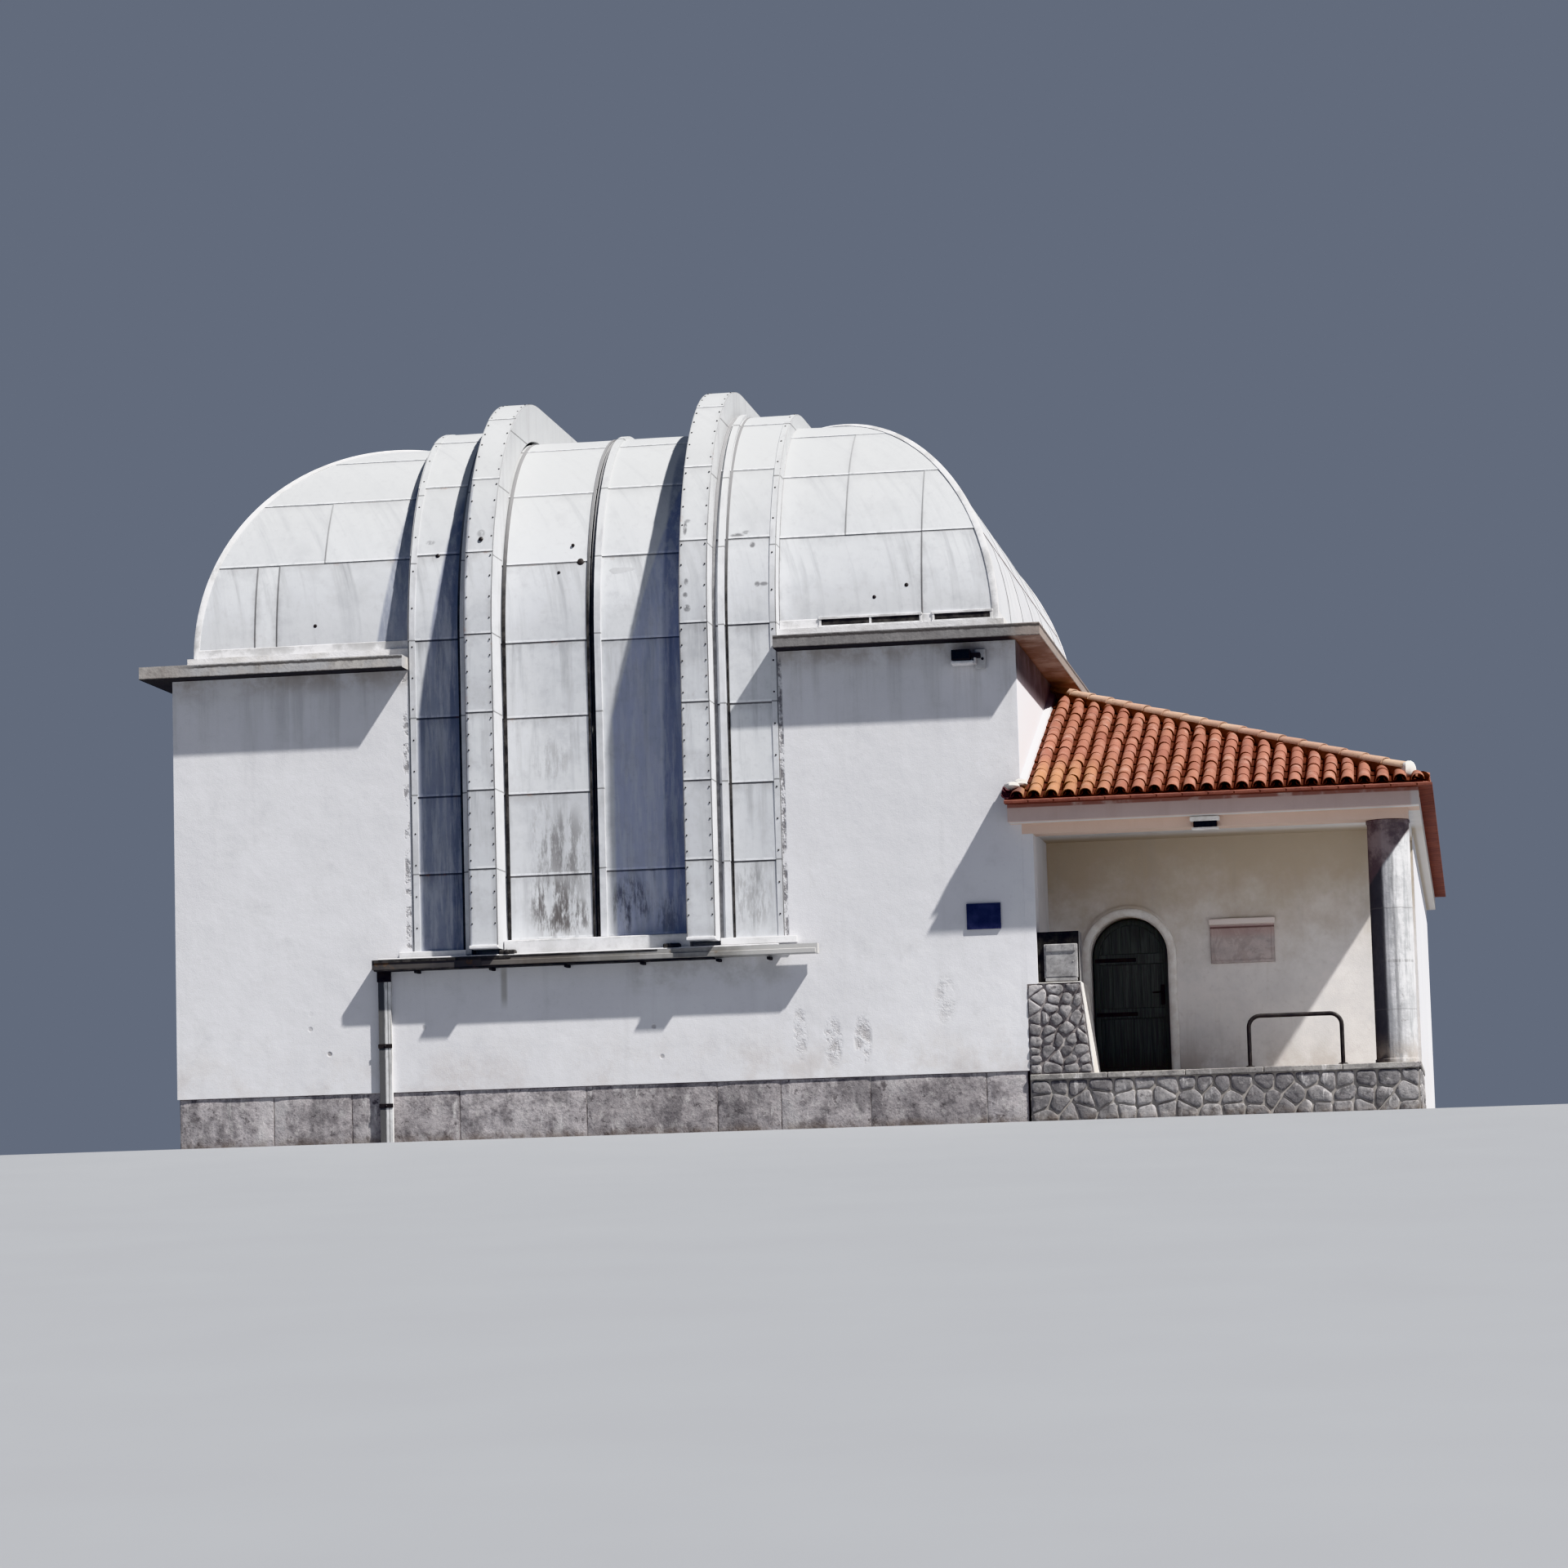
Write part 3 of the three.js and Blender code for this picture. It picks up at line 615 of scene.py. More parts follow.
def sheet_plain():
    """The same paint on folded edges and sides, with lap lines by height."""
    s = Shade("sheet_plain", 0.5, spec=0.45)
    mid = s.noise(2.2, 6, 0.68)
    fine = s.noise(13.0, 5, 0.65)
    run = s.noise(1.0, 5, 0.62, stretch=(6.0, 6.0, 0.4))
    col = s.mix(s.step(mid, 0.35, 0.7), (0.69, 0.70, 0.73), (0.55, 0.56, 0.58))
    # darker where it lies flatter: partly dust, partly painted shade that holds down the sunlit upper surfaces
    lying = s.step(s.z, 6.2, 8.2)
    col = s.mix(s.mul(lying, 0.85), col, (0.49, 0.50, 0.51))
    col = s.mix(s.mul(s.step(run, 0.48, 0.72), 0.45), col, (0.36, 0.36, 0.38))
    col = s.mix(s.mul(s.step(fine, 0.52, 0.75), 0.3), col, (0.42, 0.42, 0.44))
    zz = s.add(s.z, s.mul(s.math("SUBTRACT", fine, 0.5), 0.014))
    for k in (3.16, 4.10, 5.02, 5.95, 6.9, 7.8, 8.6):
        col = s.mix(s.mul(s.between(zz, k - 0.008, k + 0.008, 0.005), 0.7), col, (0.10, 0.10, 0.10))
    s.bump(s.noise(1.7, 3, 0.5), 0.05, 0.25)
    s.bump(fine, 0.003, 0.3)
    return s.done(col, s.level(mid, 0.42, 0.66))


def white_trim():
    s = Shade("white_trim", 0.55, spec=0.4)
    mid = s.noise(2.8, 6, 0.68)
    fine = s.noise(16.0, 5, 0.7)
    col = s.mix(s.step(mid, 0.35, 0.72), (0.84, 0.84, 0.86), (0.66, 0.66, 0.67))
    col = s.mix(s.mul(s.step(fine, 0.5, 0.74), 0.3), col, (0.48, 0.47, 0.46))
    # the ledge below the sill is greyer and stained
    led = s.step(s.z, 2.152, 2.148)
    col = s.mix(s.mul(led, 0.9), col, s.mix(s.step(mid, 0.38, 0.66), (0.28, 0.275, 0.27), (0.18, 0.173, 0.160)))
    col = s.mix(s.mul(led, s.step(s.x, 0.55, -0.55), s.step(s.y, 5.0, 4.0), 0.72), col, (0.105, 0.090, 0.080))
    col = s.mix(s.mul(led, s.step(s.x, -1.0, -1.5), s.level(s.step(mid, 0.4, 0.62), 0.85, 0.5)), col, (0.060, 0.058, 0.062))
    col = s.mix(s.mul(led, s.step(s.noise(4.0, 6, 0.75), 0.56, 0.66), 0.6), col, (0.20, 0.13, 0.08))
    col = s.mix(s.mul(led, s.step(s.x, 1.5, 2.1), 0.6), col, (0.66, 0.655, 0.65))
    top_ = s.mul(s.step(s.z, 2.29, 2.334), 0.5, s.step(mid, 0.4, 0.6))
    col = s.mix(top_, col, (0.40, 0.40, 0.40))
    s.bump(fine, 0.004, 0.4)
    return s.done(col, s.level(mid, 0.45, 0.75))


def post_paint():
    s = Shade("post_paint", 0.7, spec=0.3)
    mid = s.noise(4.0, 6, 0.7)
    run = s.noise(1.0, 5, 0.65, stretch=(14, 14, 0.9))
    # the left half is dark: painted shade for the post's shaded side and its shadow on the wall; the right half is pale
    pale = s.step(s.add(s.x, s.mul(s.math("SUBTRACT", mid, 0.5), 0.03)), -2.525, -2.505)
    col = s.mix(pale, (0.12, 0.12, 0.125), s.mix(s.step(mid, 0.35, 0.7), (0.78, 0.78, 0.79), (0.52, 0.52, 0.52)))
    col = s.mix(s.mul(s.step(run, 0.46, 0.66), 0.6), col, (0.17, 0.165, 0.15))
    col = s.mix(s.mul(s.between(s.x, -2.482, -2.472, 0.004), 0.7), col, (0.08, 0.08, 0.08))
    s.bump(mid, 0.008, 0.5)
    return s.done(col, 0.75)


def roof_tile(name, light, dark, channel):
    s = Shade(name, 0.8, spec=0.2)
    r1, r2, along = s.attr("edge")
    mid = s.noise(4.5, 6, 0.7)
    fine = s.noise(38.0, 5, 0.7)
    patch = s.noise(0.55, 3, 0.55)
    col = s.mix(r1, light, dark)
    warm = s.mul(s.step(s.x, 6.5, 5.4), s.step(s.y, 1.2, 0.2))
    if not channel:
        col = s.mix(s.mul(warm, 0.55), col, (0.46, 0.26, 0.13))
        col = s.mix(s.mul(s.step(patch, 0.45, 0.65), 0.35), col, (0.34, 0.15, 0.12))
    # channel tiles darkened further: partly dirt, partly painted shade between the covers
    if channel:
        col = s.mix(s.mul(s.step(mid, 0.30, 0.6), 0.75), col, (0.05, 0.018, 0.012))
    else:
        pale = s.mul(s.step(mid, 0.50, 0.68), s.level(r2, 0.25, 0.9))
        col = s.mix(s.mul(pale, 0.6), col, (0.54, 0.37, 0.31))
        col = s.mix(s.mul(s.step(s.noise(9.0, 5, 0.75, shift=(4, 4, 1)), 0.60, 0.68), 0.6), col, (0.12, 0.07, 0.05))
        # darker toward the upper end of each tile, where it runs under the next
        col = s.mix(s.mul(s.step(along, 0.75, 0.86), 0.4), col, (0.16, 0.07, 0.05))
    if not channel:
        col = s.mix(s.mul(s.step(fine, 0.5, 0.75), 0.3), col, (0.17, 0.08, 0.055))
    # painted shade under the mortar caps at the left end of the front eave
    corner = s.mul(s.step(s.x, 5.16, 5.10), s.step(s.y, 0.02, -0.02))
    col = s.mix(s.mul(corner, 0.75), col, (0.09, 0.05, 0.06))
    s.bump(fine, 0.002, 0.5)
    s.bump(mid, 0.008, 0.4)
    return s.done(col, s.level(mid, 0.7, 0.92))


# the hip bedding is coloured very dark: partly dirty mortar, partly painted shade on the hip's shaded side
def mortar():
    s = Shade("mortar", 0.92, spec=0.15)
    mid = s.noise(5.0, 6, 0.7)
    col = s.mix(s.step(mid, 0.35, 0.65), (0.20, 0.10, 0.07), (0.10, 0.045, 0.032))
    col = s.mix(s.mul(s.step(s.noise(26.0, 4, 0.7), 0.5, 0.7), 0.4), col, (0.28, 0.19, 0.15))
    s.bump(s.noise(22.0, 5, 0.7), 0.01, 0.8)
    return s.done(col, 0.93)


def underlay():
    """The deck below the tiles: its edge and underside are dark red clay boards."""
    s = Shade("roof_underlay", 0.85, spec=0.2)
    mid = s.noise(4.0, 6, 0.7)
    board = s.math("FRACT", s.mul(s.add(s.x, s.mul(s.y, 1.0)), 3.4))
    gap = s.step(s.math("ABSOLUTE", s.math("SUBTRACT", board, 0.5)), 0.465, 0.485)
    col = s.mix(s.step(mid, 0.35, 0.65), (0.25, 0.105, 0.082), (0.165, 0.072, 0.062))
    col = s.mix(s.mul(s.step(s.noise(20.0, 5, 0.7), 0.5, 0.7), 0.5), col, (0.20, 0.10, 0.08))
    col = s.mix(s.mul(gap, 0.7), col, (0.03, 0.012, 0.01))
    s.bump(s.noise(30.0, 5, 0.7), 0.004, 0.6)
    s.bump(gap, -0.006, 0.8)
    return s.done(col, 0.88)


def lime():
    s = Shade("lime_mortar", 0.9, spec=0.15)
    mid = s.noise(4.0, 6, 0.7)
    col = s.mix(s.step(mid, 0.35, 0.7), (0.86, 0.85, 0.83), (0.68, 0.64, 0.60))
    s.bump(s.noise(20.0, 5, 0.7), 0.01, 0.7)
    return s.done(col, 0.9)


def stone(name, a, b_, c, mort=False):
    s = Shade(name, 0.88, spec=0.2)
    r1, r2, _ = s.attr("edge")
    mid = s.noise(5.0, 6, 0.72)
    fine = s.noise(30.0, 5, 0.72)
    col = s.mix(r1, a, b_)
    col = s.mix(s.mul(s.step(mid, 0.42, 0.66), 0.7), col, c)
    col = s.mix(s.mul(s.step(s.noise(3.0, 6, 0.75, shift=(7, 3, 5)), 0.56, 0.66), 0.55), col, (0.46, 0.43, 0.44))
    col = s.mix(s.mul(s.step(fine, 0.48, 0.70), 0.5), col, (0.085, 0.08, 0.085))
    # pale lime drips and lichen
    drip = s.step(s.noise(1.0, 5, 0.7, stretch=(8, 8, 1.4), shift=(2, 2, 2)), 0.60, 0.70)
    col = s.mix(s.mul(drip, 0.8), col, (0.66, 0.64, 0.64))
    spot = s.step(s.noise(6.0, 5, 0.75, shift=(4, 7, 1)), 0.55, 0.64)
    col = s.mix(s.mul(spot, 0.65), col, (0.52, 0.50, 0.50))
    broad = s.noise(1.7, 5, 0.66, stretch=(1, 1, 0.55), shift=(6, 1, 2))
    col = s.mix(s.mul(s.step(broad, 0.52, 0.62), s.step(mid, 0.34, 0.56), 0.62), col, (0.58, 0.56, 0.57))
    col = s.mix(s.mul(s.step(broad, 0.47, 0.38), 0.50), col, (0.125, 0.118, 0.125))
    pit = s.step(s.noise(7.0, 5, 0.75, shift=(1, 3, 6)), 0.58, 0.66)
    col = s.mix(s.mul(pit, 0.7), col, (0.09, 0.082, 0.085))
    col = s.mix(s.mul(s.step(s.z, 0.14, 0.0), s.step(mid, 0.3, 0.6), 0.5), col, (0.20, 0.15, 0.11))
    s.bump(mid, 0.03, 0.7)
    s.bump(fine, 0.006, 0.7)
    return s.done(col, 0.9)


def stone_core():
    s = Shade("stone_core", 0.92, spec=0.15)
    mid = s.noise(6.0, 6, 0.72)
    col = s.mix(s.step(mid, 0.35, 0.65), (0.36, 0.33, 0.33), (0.15, 0.135, 0.135))
    col = s.mix(s.mul(s.step(s.noise(2.0, 5, 0.7), 0.52, 0.64), 0.6), col, (0.62, 0.59, 0.57))
    s.bump(s.noise(24.0, 5, 0.7), 0.01, 0.9)
    return s.done(col, 0.92)


def screed():
    s = Shade("floor_screed", 0.85, spec=0.25)
    mid = s.noise(1.8, 6, 0.66)
    fine = s.noise(24.0, 5, 0.7)
    crack = s.mul(s.step(s.cells(0.38, "DISTANCE_TO_EDGE", at=s.vec("ADD", s.p, s.mkvec(s.mul(mid, 0.5), s.mul(fine, 0.12), 0.0))), 0.006, 0.001), s.step(s.noise(0.6, 3, 0.6, shift=(3, 3, 0)), 0.46, 0.56))
    col = s.mix(s.step(mid, 0.35, 0.68), (0.40, 0.375, 0.355), (0.30, 0.28, 0.265))
    col = s.mix(s.mul(s.step(fine, 0.5, 0.7), 0.4), col, (0.20, 0.185, 0.175))
    col = s.mix(s.mul(crack, 0.6), col, (0.12, 0.11, 0.10))
    s.bump(fine, 0.003, 0.5)
    s.bump(crack, -0.006, 0.8)
    return s.done(col, s.level(mid, 0.7, 0.92))


def door_wood():
    s = Shade("door_wood", 0.5, spec=0.4)
    g = s.node("ShaderNodeTexCoord").outputs["Object"]
    grain = s.noise(1.0, 6, 0.65, stretch=(60, 60, 2.4))
    mid = s.noise(3.5, 5, 0.65)
    col = s.mix(s.step(grain, 0.35, 0.7), (0.095, 0.102, 0.100), (0.165, 0.175, 0.170))
    col = s.mix(s.mul(s.step(mid, 0.5, 0.72), 0.5), col, (0.10, 0.10, 0.095))
    col = s.mix(s.mul(s.step(s.z, 1.0, 0.58), 0.45), col, (0.085, 0.07, 0.055))
    s.bump(grain, 0.002, 0.5)
    return s.done(col, s.level(mid, 0.4, 0.65))


def plaque_stone():
    s = Shade("plaque_stone", 0.6, spec=0.35)
    mid = s.noise(6.0, 6, 0.7)
    vein = s.step(s.noise(2.5, 6, 0.7, dist=1.6), 0.50, 0.53)
    col = s.mix(s.step(mid, 0.35, 0.68), (0.56, 0.50, 0.49), (0.44, 0.40, 0.40))
    col = s.mix(s.mul(vein, 0.25), col, (0.26, 0.20, 0.19))
    upper = s.step(s.z, 2.20, 2.32)
    col = s.mix(s.mul(upper, 0.55), col, (0.44, 0.30, 0.28))
    col = s.mix(s.mul(s.step(s.z, 2.385, 2.396), 0.85), col, (0.80, 0.74, 0.71))
    # painted shadow of the cap: a dark line just under it
    col = s.mix(s.mul(s.between(s.z, 2.352, 2.372, 0.008), 0.8), col, (0.16, 0.11, 0.11))
    s.bump(mid, 0.002, 0.4)
    return s.done(col, s.level(mid, 0.45, 0.75))


def sign_enamel():
    s = Shade("sign_enamel", 0.3, spec=0.3)
    mid = s.noise(7.0, 5, 0.6)
    fine = s.noise(60.0, 4, 0.6)
    col = s.mix(s.step(mid, 0.4, 0.7), (0.040, 0.043, 0.092), (0.076, 0.080, 0.152))
    col = s.mix(s.mul(s.step(fine, 0.62, 0.72), 0.5), col, (0.07, 0.07, 0.11))
    s.bump(mid, 0.001, 0.3)
    return s.done(col, s.level(mid, 0.18, 0.42))


def dark_metal():
    s = Shade("dark_metal", 0.5, metal=0.35, spec=0.4)
    mid = s.noise(9.0, 6, 0.7)
    fine = s.noise(60.0, 4, 0.7)
    col = s.mix(s.step(mid, 0.35, 0.7), (0.030, 0.028, 0.030), (0.062, 0.056, 0.055))
    col = s.mix(s.mul(s.step(fine, 0.60, 0.72), 0.45), col, (0.14, 0.075, 0.05))
    s.bump(fine, 0.002, 0.5)
    return s.done(col, s.level(mid, 0.4, 0.75))


def seal(name, lo, hi):
    s = Shade(name, 0.8, spec=0.25)
    mid = s.noise(8.0, 5, 0.7)
    col = s.mix(s.step(mid, 0.35, 0.7), lo, hi)
    col = s.mix(s.mul(s.step(s.z, 6.1, 7.8), 0.85), col, (0.30, 0.30, 0.31))
    s.bump(s.noise(40.0, 3, 0.6), 0.002, 0.5)
    return s.done(col, s.level(mid, 0.65, 0.9))


# near black: painted shade in recesses
def recess_shade():
    s = Shade("recess_black", 0.8, spec=0.2)
    mid = s.noise(12.0, 5, 0.7)
    col = s.mix(s.step(mid, 0.35, 0.7), (0.018, 0.018, 0.020), (0.055, 0.053, 0.052))
    s.bump(s.noise(50.0, 3, 0.6), 0.002, 0.5)
    return s.done(col, s.level(mid, 0.65, 0.9))


def box_render():
    s = Shade("box_render", 0.8, spec=0.25)
    mid = s.noise(5.0, 6, 0.72)
    fine = s.noise(24.0, 5, 0.72)
    col = s.mix(s.step(mid, 0.35, 0.66), (0.40, 0.395, 0.40), (0.22, 0.215, 0.22))
    col = s.mix(s.mul(s.step(fine, 0.5, 0.70), 0.45), col, (0.12, 0.118, 0.12))
    s.bump(mid, 0.01, 0.5)
    s.bump(fine, 0.004, 0.5)
    return s.done(col, 0.82)


def lamp_glass():
    s = Shade("lamp_glass", 0.2, spec=0.4)
    mid = s.noise(20.0, 4, 0.6)
    col = s.mix(s.step(mid, 0.4, 0.7), (0.010, 0.010, 0.012), (0.030, 0.029, 0.028))
    return s.done(col, s.level(mid, 0.10, 0.30))


def stage_mat():
    s = Shade("stage", 0.9, spec=0.2)
    n = s.noise(0.6, 3, 0.5)
    return s.done(s.mix(n, (0.30, 0.31, 0.33), (0.32, 0.33, 0.35)), 0.92)


M = {
    "plinth_stone": stone_core(), "white_render": white_render(), "floor_screed": screed(),
    "cornice_concrete": cornice_concrete(), "dome_sheet": sheet_plain(), "white_trim": white_trim(),
    "porch_render": porch_render(), "door_wood": door_wood(), "plaque_stone": plaque_stone(),
    "sign_enamel": sign_enamel(), "dark_metal": dark_metal(), "box_render": box_render(),
}
M["slit_sheet"] = M["dome_sheet"]
M["roof_tile"], BED = underlay(), mortar()
COLUMN, POST, LIME = column_render(), post_paint(), lime()
# near-black strips: partly seals and joints, partly painted shade in gaps and beside raised edges
SEAL = seal("seal", (0.030, 0.030, 0.032), (0.095, 0.090, 0.088))
# grey strip: partly a joint, partly painted shadow of the band's upstand
SOFT_SEAL = seal("seal_grey", (0.17, 0.17, 0.18), (0.30, 0.30, 0.31))
GLASS, RECESS_SHADE = lamp_glass(), recess_shade()
# painted shade: the left band's shadow on the vault sheets beside it
DOME_SKIN = sheet("dome_skin", rust=0.25, painted_shade=((-2.9, -2.2, -2.63, 5.95, -2.28, 8.00, (0.50, 0.53, 0.62), 1.0),))
# painted shade: rib A's shadow on the left band, darkest next to the rib
BAND_SKIN = sheet("band_skin", rust=0.45, stains=((1.9, 2.75, 0.3, 0.5, 0.4),),
                  painted_shade=((-2.2, -1.412, -2.09, 4.93, -1.70, 7.40, (0.45, 0.475, 0.575), 1.0),
                           (-1.80, -1.38, -1.70, 4.70, -1.62, 7.60, (0.62, 0.64, 0.70), 1.0)),
                  flecks=((1.80, 7.03, 0.10, 0.045, 0.85), (1.91, 7.07, 0.06, 0.03, 0.6), (1.985, 6.91, 0.04, 0.045, 0.85),
                          (2.05, 6.42, 0.04, 0.04, 0.75), (2.13, 6.42, 0.06, 0.03, 0.75), (-1.93, 7.16, 0.07, 0.035, 0.5),
                          (1.235, 7.10, 0.030, 0.10, 0.85), (1.26, 7.19, 0.05, 0.03, 0.6), (1.26, 6.44, 0.03, 0.05, 0.75),
                          (1.25, 6.28, 0.035, 0.04, 0.8), (1.27, 6.12, 0.05, 0.055, 0.85), (-1.23, 7.18, 0.06, 0.06, 0.5)))
# painted shade: rib B's shadow on the right leaf, darkest next to the rib
LEAF_SKIN = sheet("leaf_skin", rust=0.5, stains=(
    (-0.52, 2.72, 0.34, 0.42, 0.85), (-0.30, 3.45, 0.30, 0.55, 0.45), (-0.62, 3.6, 0.18, 0.5, 0.4),
    (0.42, 2.72, 0.30, 0.42, 0.80), (0.85, 2.6, 0.2, 0.3, 0.5), (-0.5, 4.45, 0.3, 0.3, 0.3), (-0.28, 2.60, 0.32, 0.26, 0.8), (-0.45, 3.05, 0.45, 0.9, 0.45)),
    painted_shade=((0.02, 1.3, 0.23, 4.95, 1.07, 7.95, (0.68, 0.715, 0.87), 1.0),
             (0.70, 1.3, 0.83, 4.95, 0.90, 7.95, (0.58, 0.60, 0.68), 1.0)))
COVER = roof_tile("tile_cover", (0.345, 0.160, 0.112), (0.275, 0.118, 0.086), False)
# channel tiles far darker than the covers: partly dirt, partly painted shade between the covers
CHANNEL = roof_tile("tile_channel", (0.12, 0.036, 0.022), (0.085, 0.025, 0.017), True)
HIP_TILE = roof_tile("tile_hip", (0.56, 0.41, 0.31), (0.48, 0.32, 0.24), False)
BLOCK = stone("stone_block", (0.50, 0.470, 0.485), (0.36, 0.335, 0.345), (0.150, 0.138, 0.146))
RUBBLE = stone("stone_rubble", (0.42, 0.405, 0.41), (0.25, 0.242, 0.25), (0.12, 0.117, 0.12))
EDGE_STONE = stone("stone_edge", (0.40, 0.385, 0.37), (0.32, 0.305, 0.29), (0.25, 0.24, 0.23))

# ---------------------------------------------------------------- materials on the frame's own nodes
slots = {s["node"]: s["material_slot"] for s in frame["record"]["subparts"]}
special = {"porch_column": COLUMN, "ledge_post": POST}
for name, ob in frame["nodes"].items():
    for i in range(len(ob.material_slots)):
        ob.material_slots[i].material = special.get(name, M[slots[name]])


# ---------------------------------------------------------------- stage
def floor():
    xs = [-150 + 6 * i for i in range(51)]
    ys = [-120, -80, -60, -40, -20, -10, -6, -4, -3, -2.2, -1.6, -1.2, -0.9, -0.7, -0.55, -0.4, 2, 20, 60, 150]
    v, f = [], []
    for y in ys:
        d = max(0.0, -0.4 - y)
        z = -0.09 * (d * d / 2.0 if d < 1.0 else d - 0.5)
        for x in xs:
            v.append(W(x, y, z))
    n = len(xs)
    for j in range(len(ys) - 1):
        for i in range(n - 1):
            f.append((j * n + i, j * n + i + 1, (j + 1) * n + i + 1, (j + 1) * n + i))
    me = bpy.data.meshes.new("stage_floor")
    me.from_pydata(v, [], f)
    me.polygons.foreach_set("use_smooth", [True] * len(me.polygons))
    me.materials.append(stage_mat())
    ob = bpy.data.objects.new("stage_floor", me)
    sc.collection.objects.link(ob)


floor()


# ---------------------------------------------------------------- the sheets
def arch_at(out, u):
    """Point (y, z) and normal of the slit arch: u runs 0..1 up the front, 1..2 round the curve, 2..2.5 to the crown."""
    if u > 2.5:
        y, z, ny, nz = arch_at(out, 5.0 - u)
        return DEPTH - y, z, -ny, nz
    a, b = DOME_B + INSET + out, DOME_H + BAND_UP + out
    if u <= 1:
        return -out, SILL_Z + (FOOT - SILL_Z) * u, -1.0, 0.0
    if u <= 2:
        t = (u - 1) * math.pi / 2
        ny, nz = -b * math.cos(t), a * math.sin(t)
        k = math.hypot(ny, nz)
        return -out + a * (1 - math.cos(t)), FOOT + b * math.sin(t), ny / k, nz / k
    return (-out + a) + (MY + out - a) * (u - 2) / 0.5, FOOT + b, 0.0, 1.0


def u_of(z, out):
    if z <= FOOT:
        return (z - SILL_Z) / (FOOT - SILL_Z)
    return 1 + math.asin(min(1.0, (z - FOOT) / (DOME_H + BAND_UP + out))) * 2 / math.pi


def stations(u0, u1, fine=24):
    marks = [i / 12 for i in range(13)] + [1 + i / fine for i in range(1, fine + 1)] + [2 + i / 6 for i in range(1, 4)]
    marks += [5 - k for k in marks]
    return [u0] + sorted(k for k in marks if u0 + 0.01 < k < u1 - 0.01) + [u1]


def skin(P, pts, nrm, num, arc0, lap=0.007, base=0.0025, dent=0.004, sidelap=0.0, skirt=0.004):
    """One sheet: pts and nrm are rows from its low edge up. Its low edge stands on the sheet below."""
    R, K = len(pts), len(pts[0])
    along = [[0.0] * K for _ in range(R)]
    across = [[0.0] * K for _ in range(R)]
    for r in range(R):
        for k in range(K):
            if r:
                along[r][k] = along[r - 1][k] + (pts[r][k] - pts[r - 1][k]).length
            if k:
                across[r][k] = across[r][k - 1] + (pts[r][k] - pts[r][k - 1]).length
    verts, A, B = [], [], []
    for r in range(R):
        for k in range(K):
            tot, wid = along[-1][k], max(across[r][-1], 1e-6)
            fade = min(1.0, across[r][k] / 0.1, (wid - across[r][k]) / 0.1, along[r][k] / 0.12, (tot - along[r][k]) / 0.12)
            d = dent * fade * noise.noise(Vector((pts[r][k].x * 1.7 + num * 5.3, pts[r][k].y * 1.7, pts[r][k].z * 1.7)))
            lift = base + lap * (1 - along[r][k] / tot) + sidelap * (1 - across[r][k] / wid) + max(0, fade) * d
            verts.append(pts[r][k] + nrm[r][k] * lift)
            A.append((across[r][k], wid - across[r][k], float(num)))
            B.append((along[r][k], tot - along[r][k], arc0 + along[r][k]))
    faces = [(r * K + k, r * K + k + 1, (r + 1) * K + k + 1, (r + 1) * K + k) for r in range(R - 1) for k in range(K - 1)]
    ring = [k for k in range(K)] + [r * K + K - 1 for r in range(1, R)] + [(R - 1) * K + k for k in range(K - 2, -1, -1)]
    ring += [r * K for r in range(R - 2, 0, -1)]
    n0 = len(verts)
    for i in ring:
        r, k = divmod(i, K)
        verts.append(pts[r][k] + nrm[r][k] * (base - skirt))
        A.append(A[i])
        B.append(B[i])
    L = len(ring)
    faces += [(ring[i], n0 + i, n0 + (i + 1) % L, ring[(i + 1) % L]) for i in range(L)]
    q = [Vector(verts[i]) for i in faces[0]]
    if (q[1] - q[0]).cross(q[2] - q[1]).dot(nrm[0][0]) < 0:
        faces = [f[::-1] for f in faces]
    P.add(verts, faces, A, B)


def columns(x0, x1, step=0.24):
    n = max(2, round((x1 - x0) / step))
    inner = [x0 + 0.02 + (x1 - x0 - 0.04) * i / n for i in range(n + 1)]
    return [x0] + inner + [x1]


def strip(P, x0, x1, out, seams, first, top=2.5, num=1, **kw):
    """Sheets lapped up one side of the slit arch and, mirrored, up the other."""
    marks = [first] + [u_of(z, out) for z in seams if z < FOOT + DOME_H + BAND_UP + out - 0.01] + [top]
    for back in (False, True):
        arc = 0.0
        for i in range(len(marks) - 1):
            u0, u1 = marks[i], marks[i + 1]
            over = 0.03 / (FOOT - SILL_Z) if u1 < 1 else 0.03 / 4.6
            us = stations(u0, min(top, u1 + over))
            pts, nrm = [], []
            for u in us:
                y, z, ny, nz = arch_at(out, u)
                if back:
                    y, ny = DEPTH - y, -ny
                pts.append([Vector((x, y, z)) for x in columns(x0, x1)])
                nrm.append([Vector((0, ny, nz))] * len(pts[-1]))
            skin(P, pts, nrm, num + i * 0.37 + (3.3 if back else 0), arc, **kw)
            arc += sum((pts[k + 1][0] - pts[k][0]).length for k in range(len(pts) - 1)) - 0.03


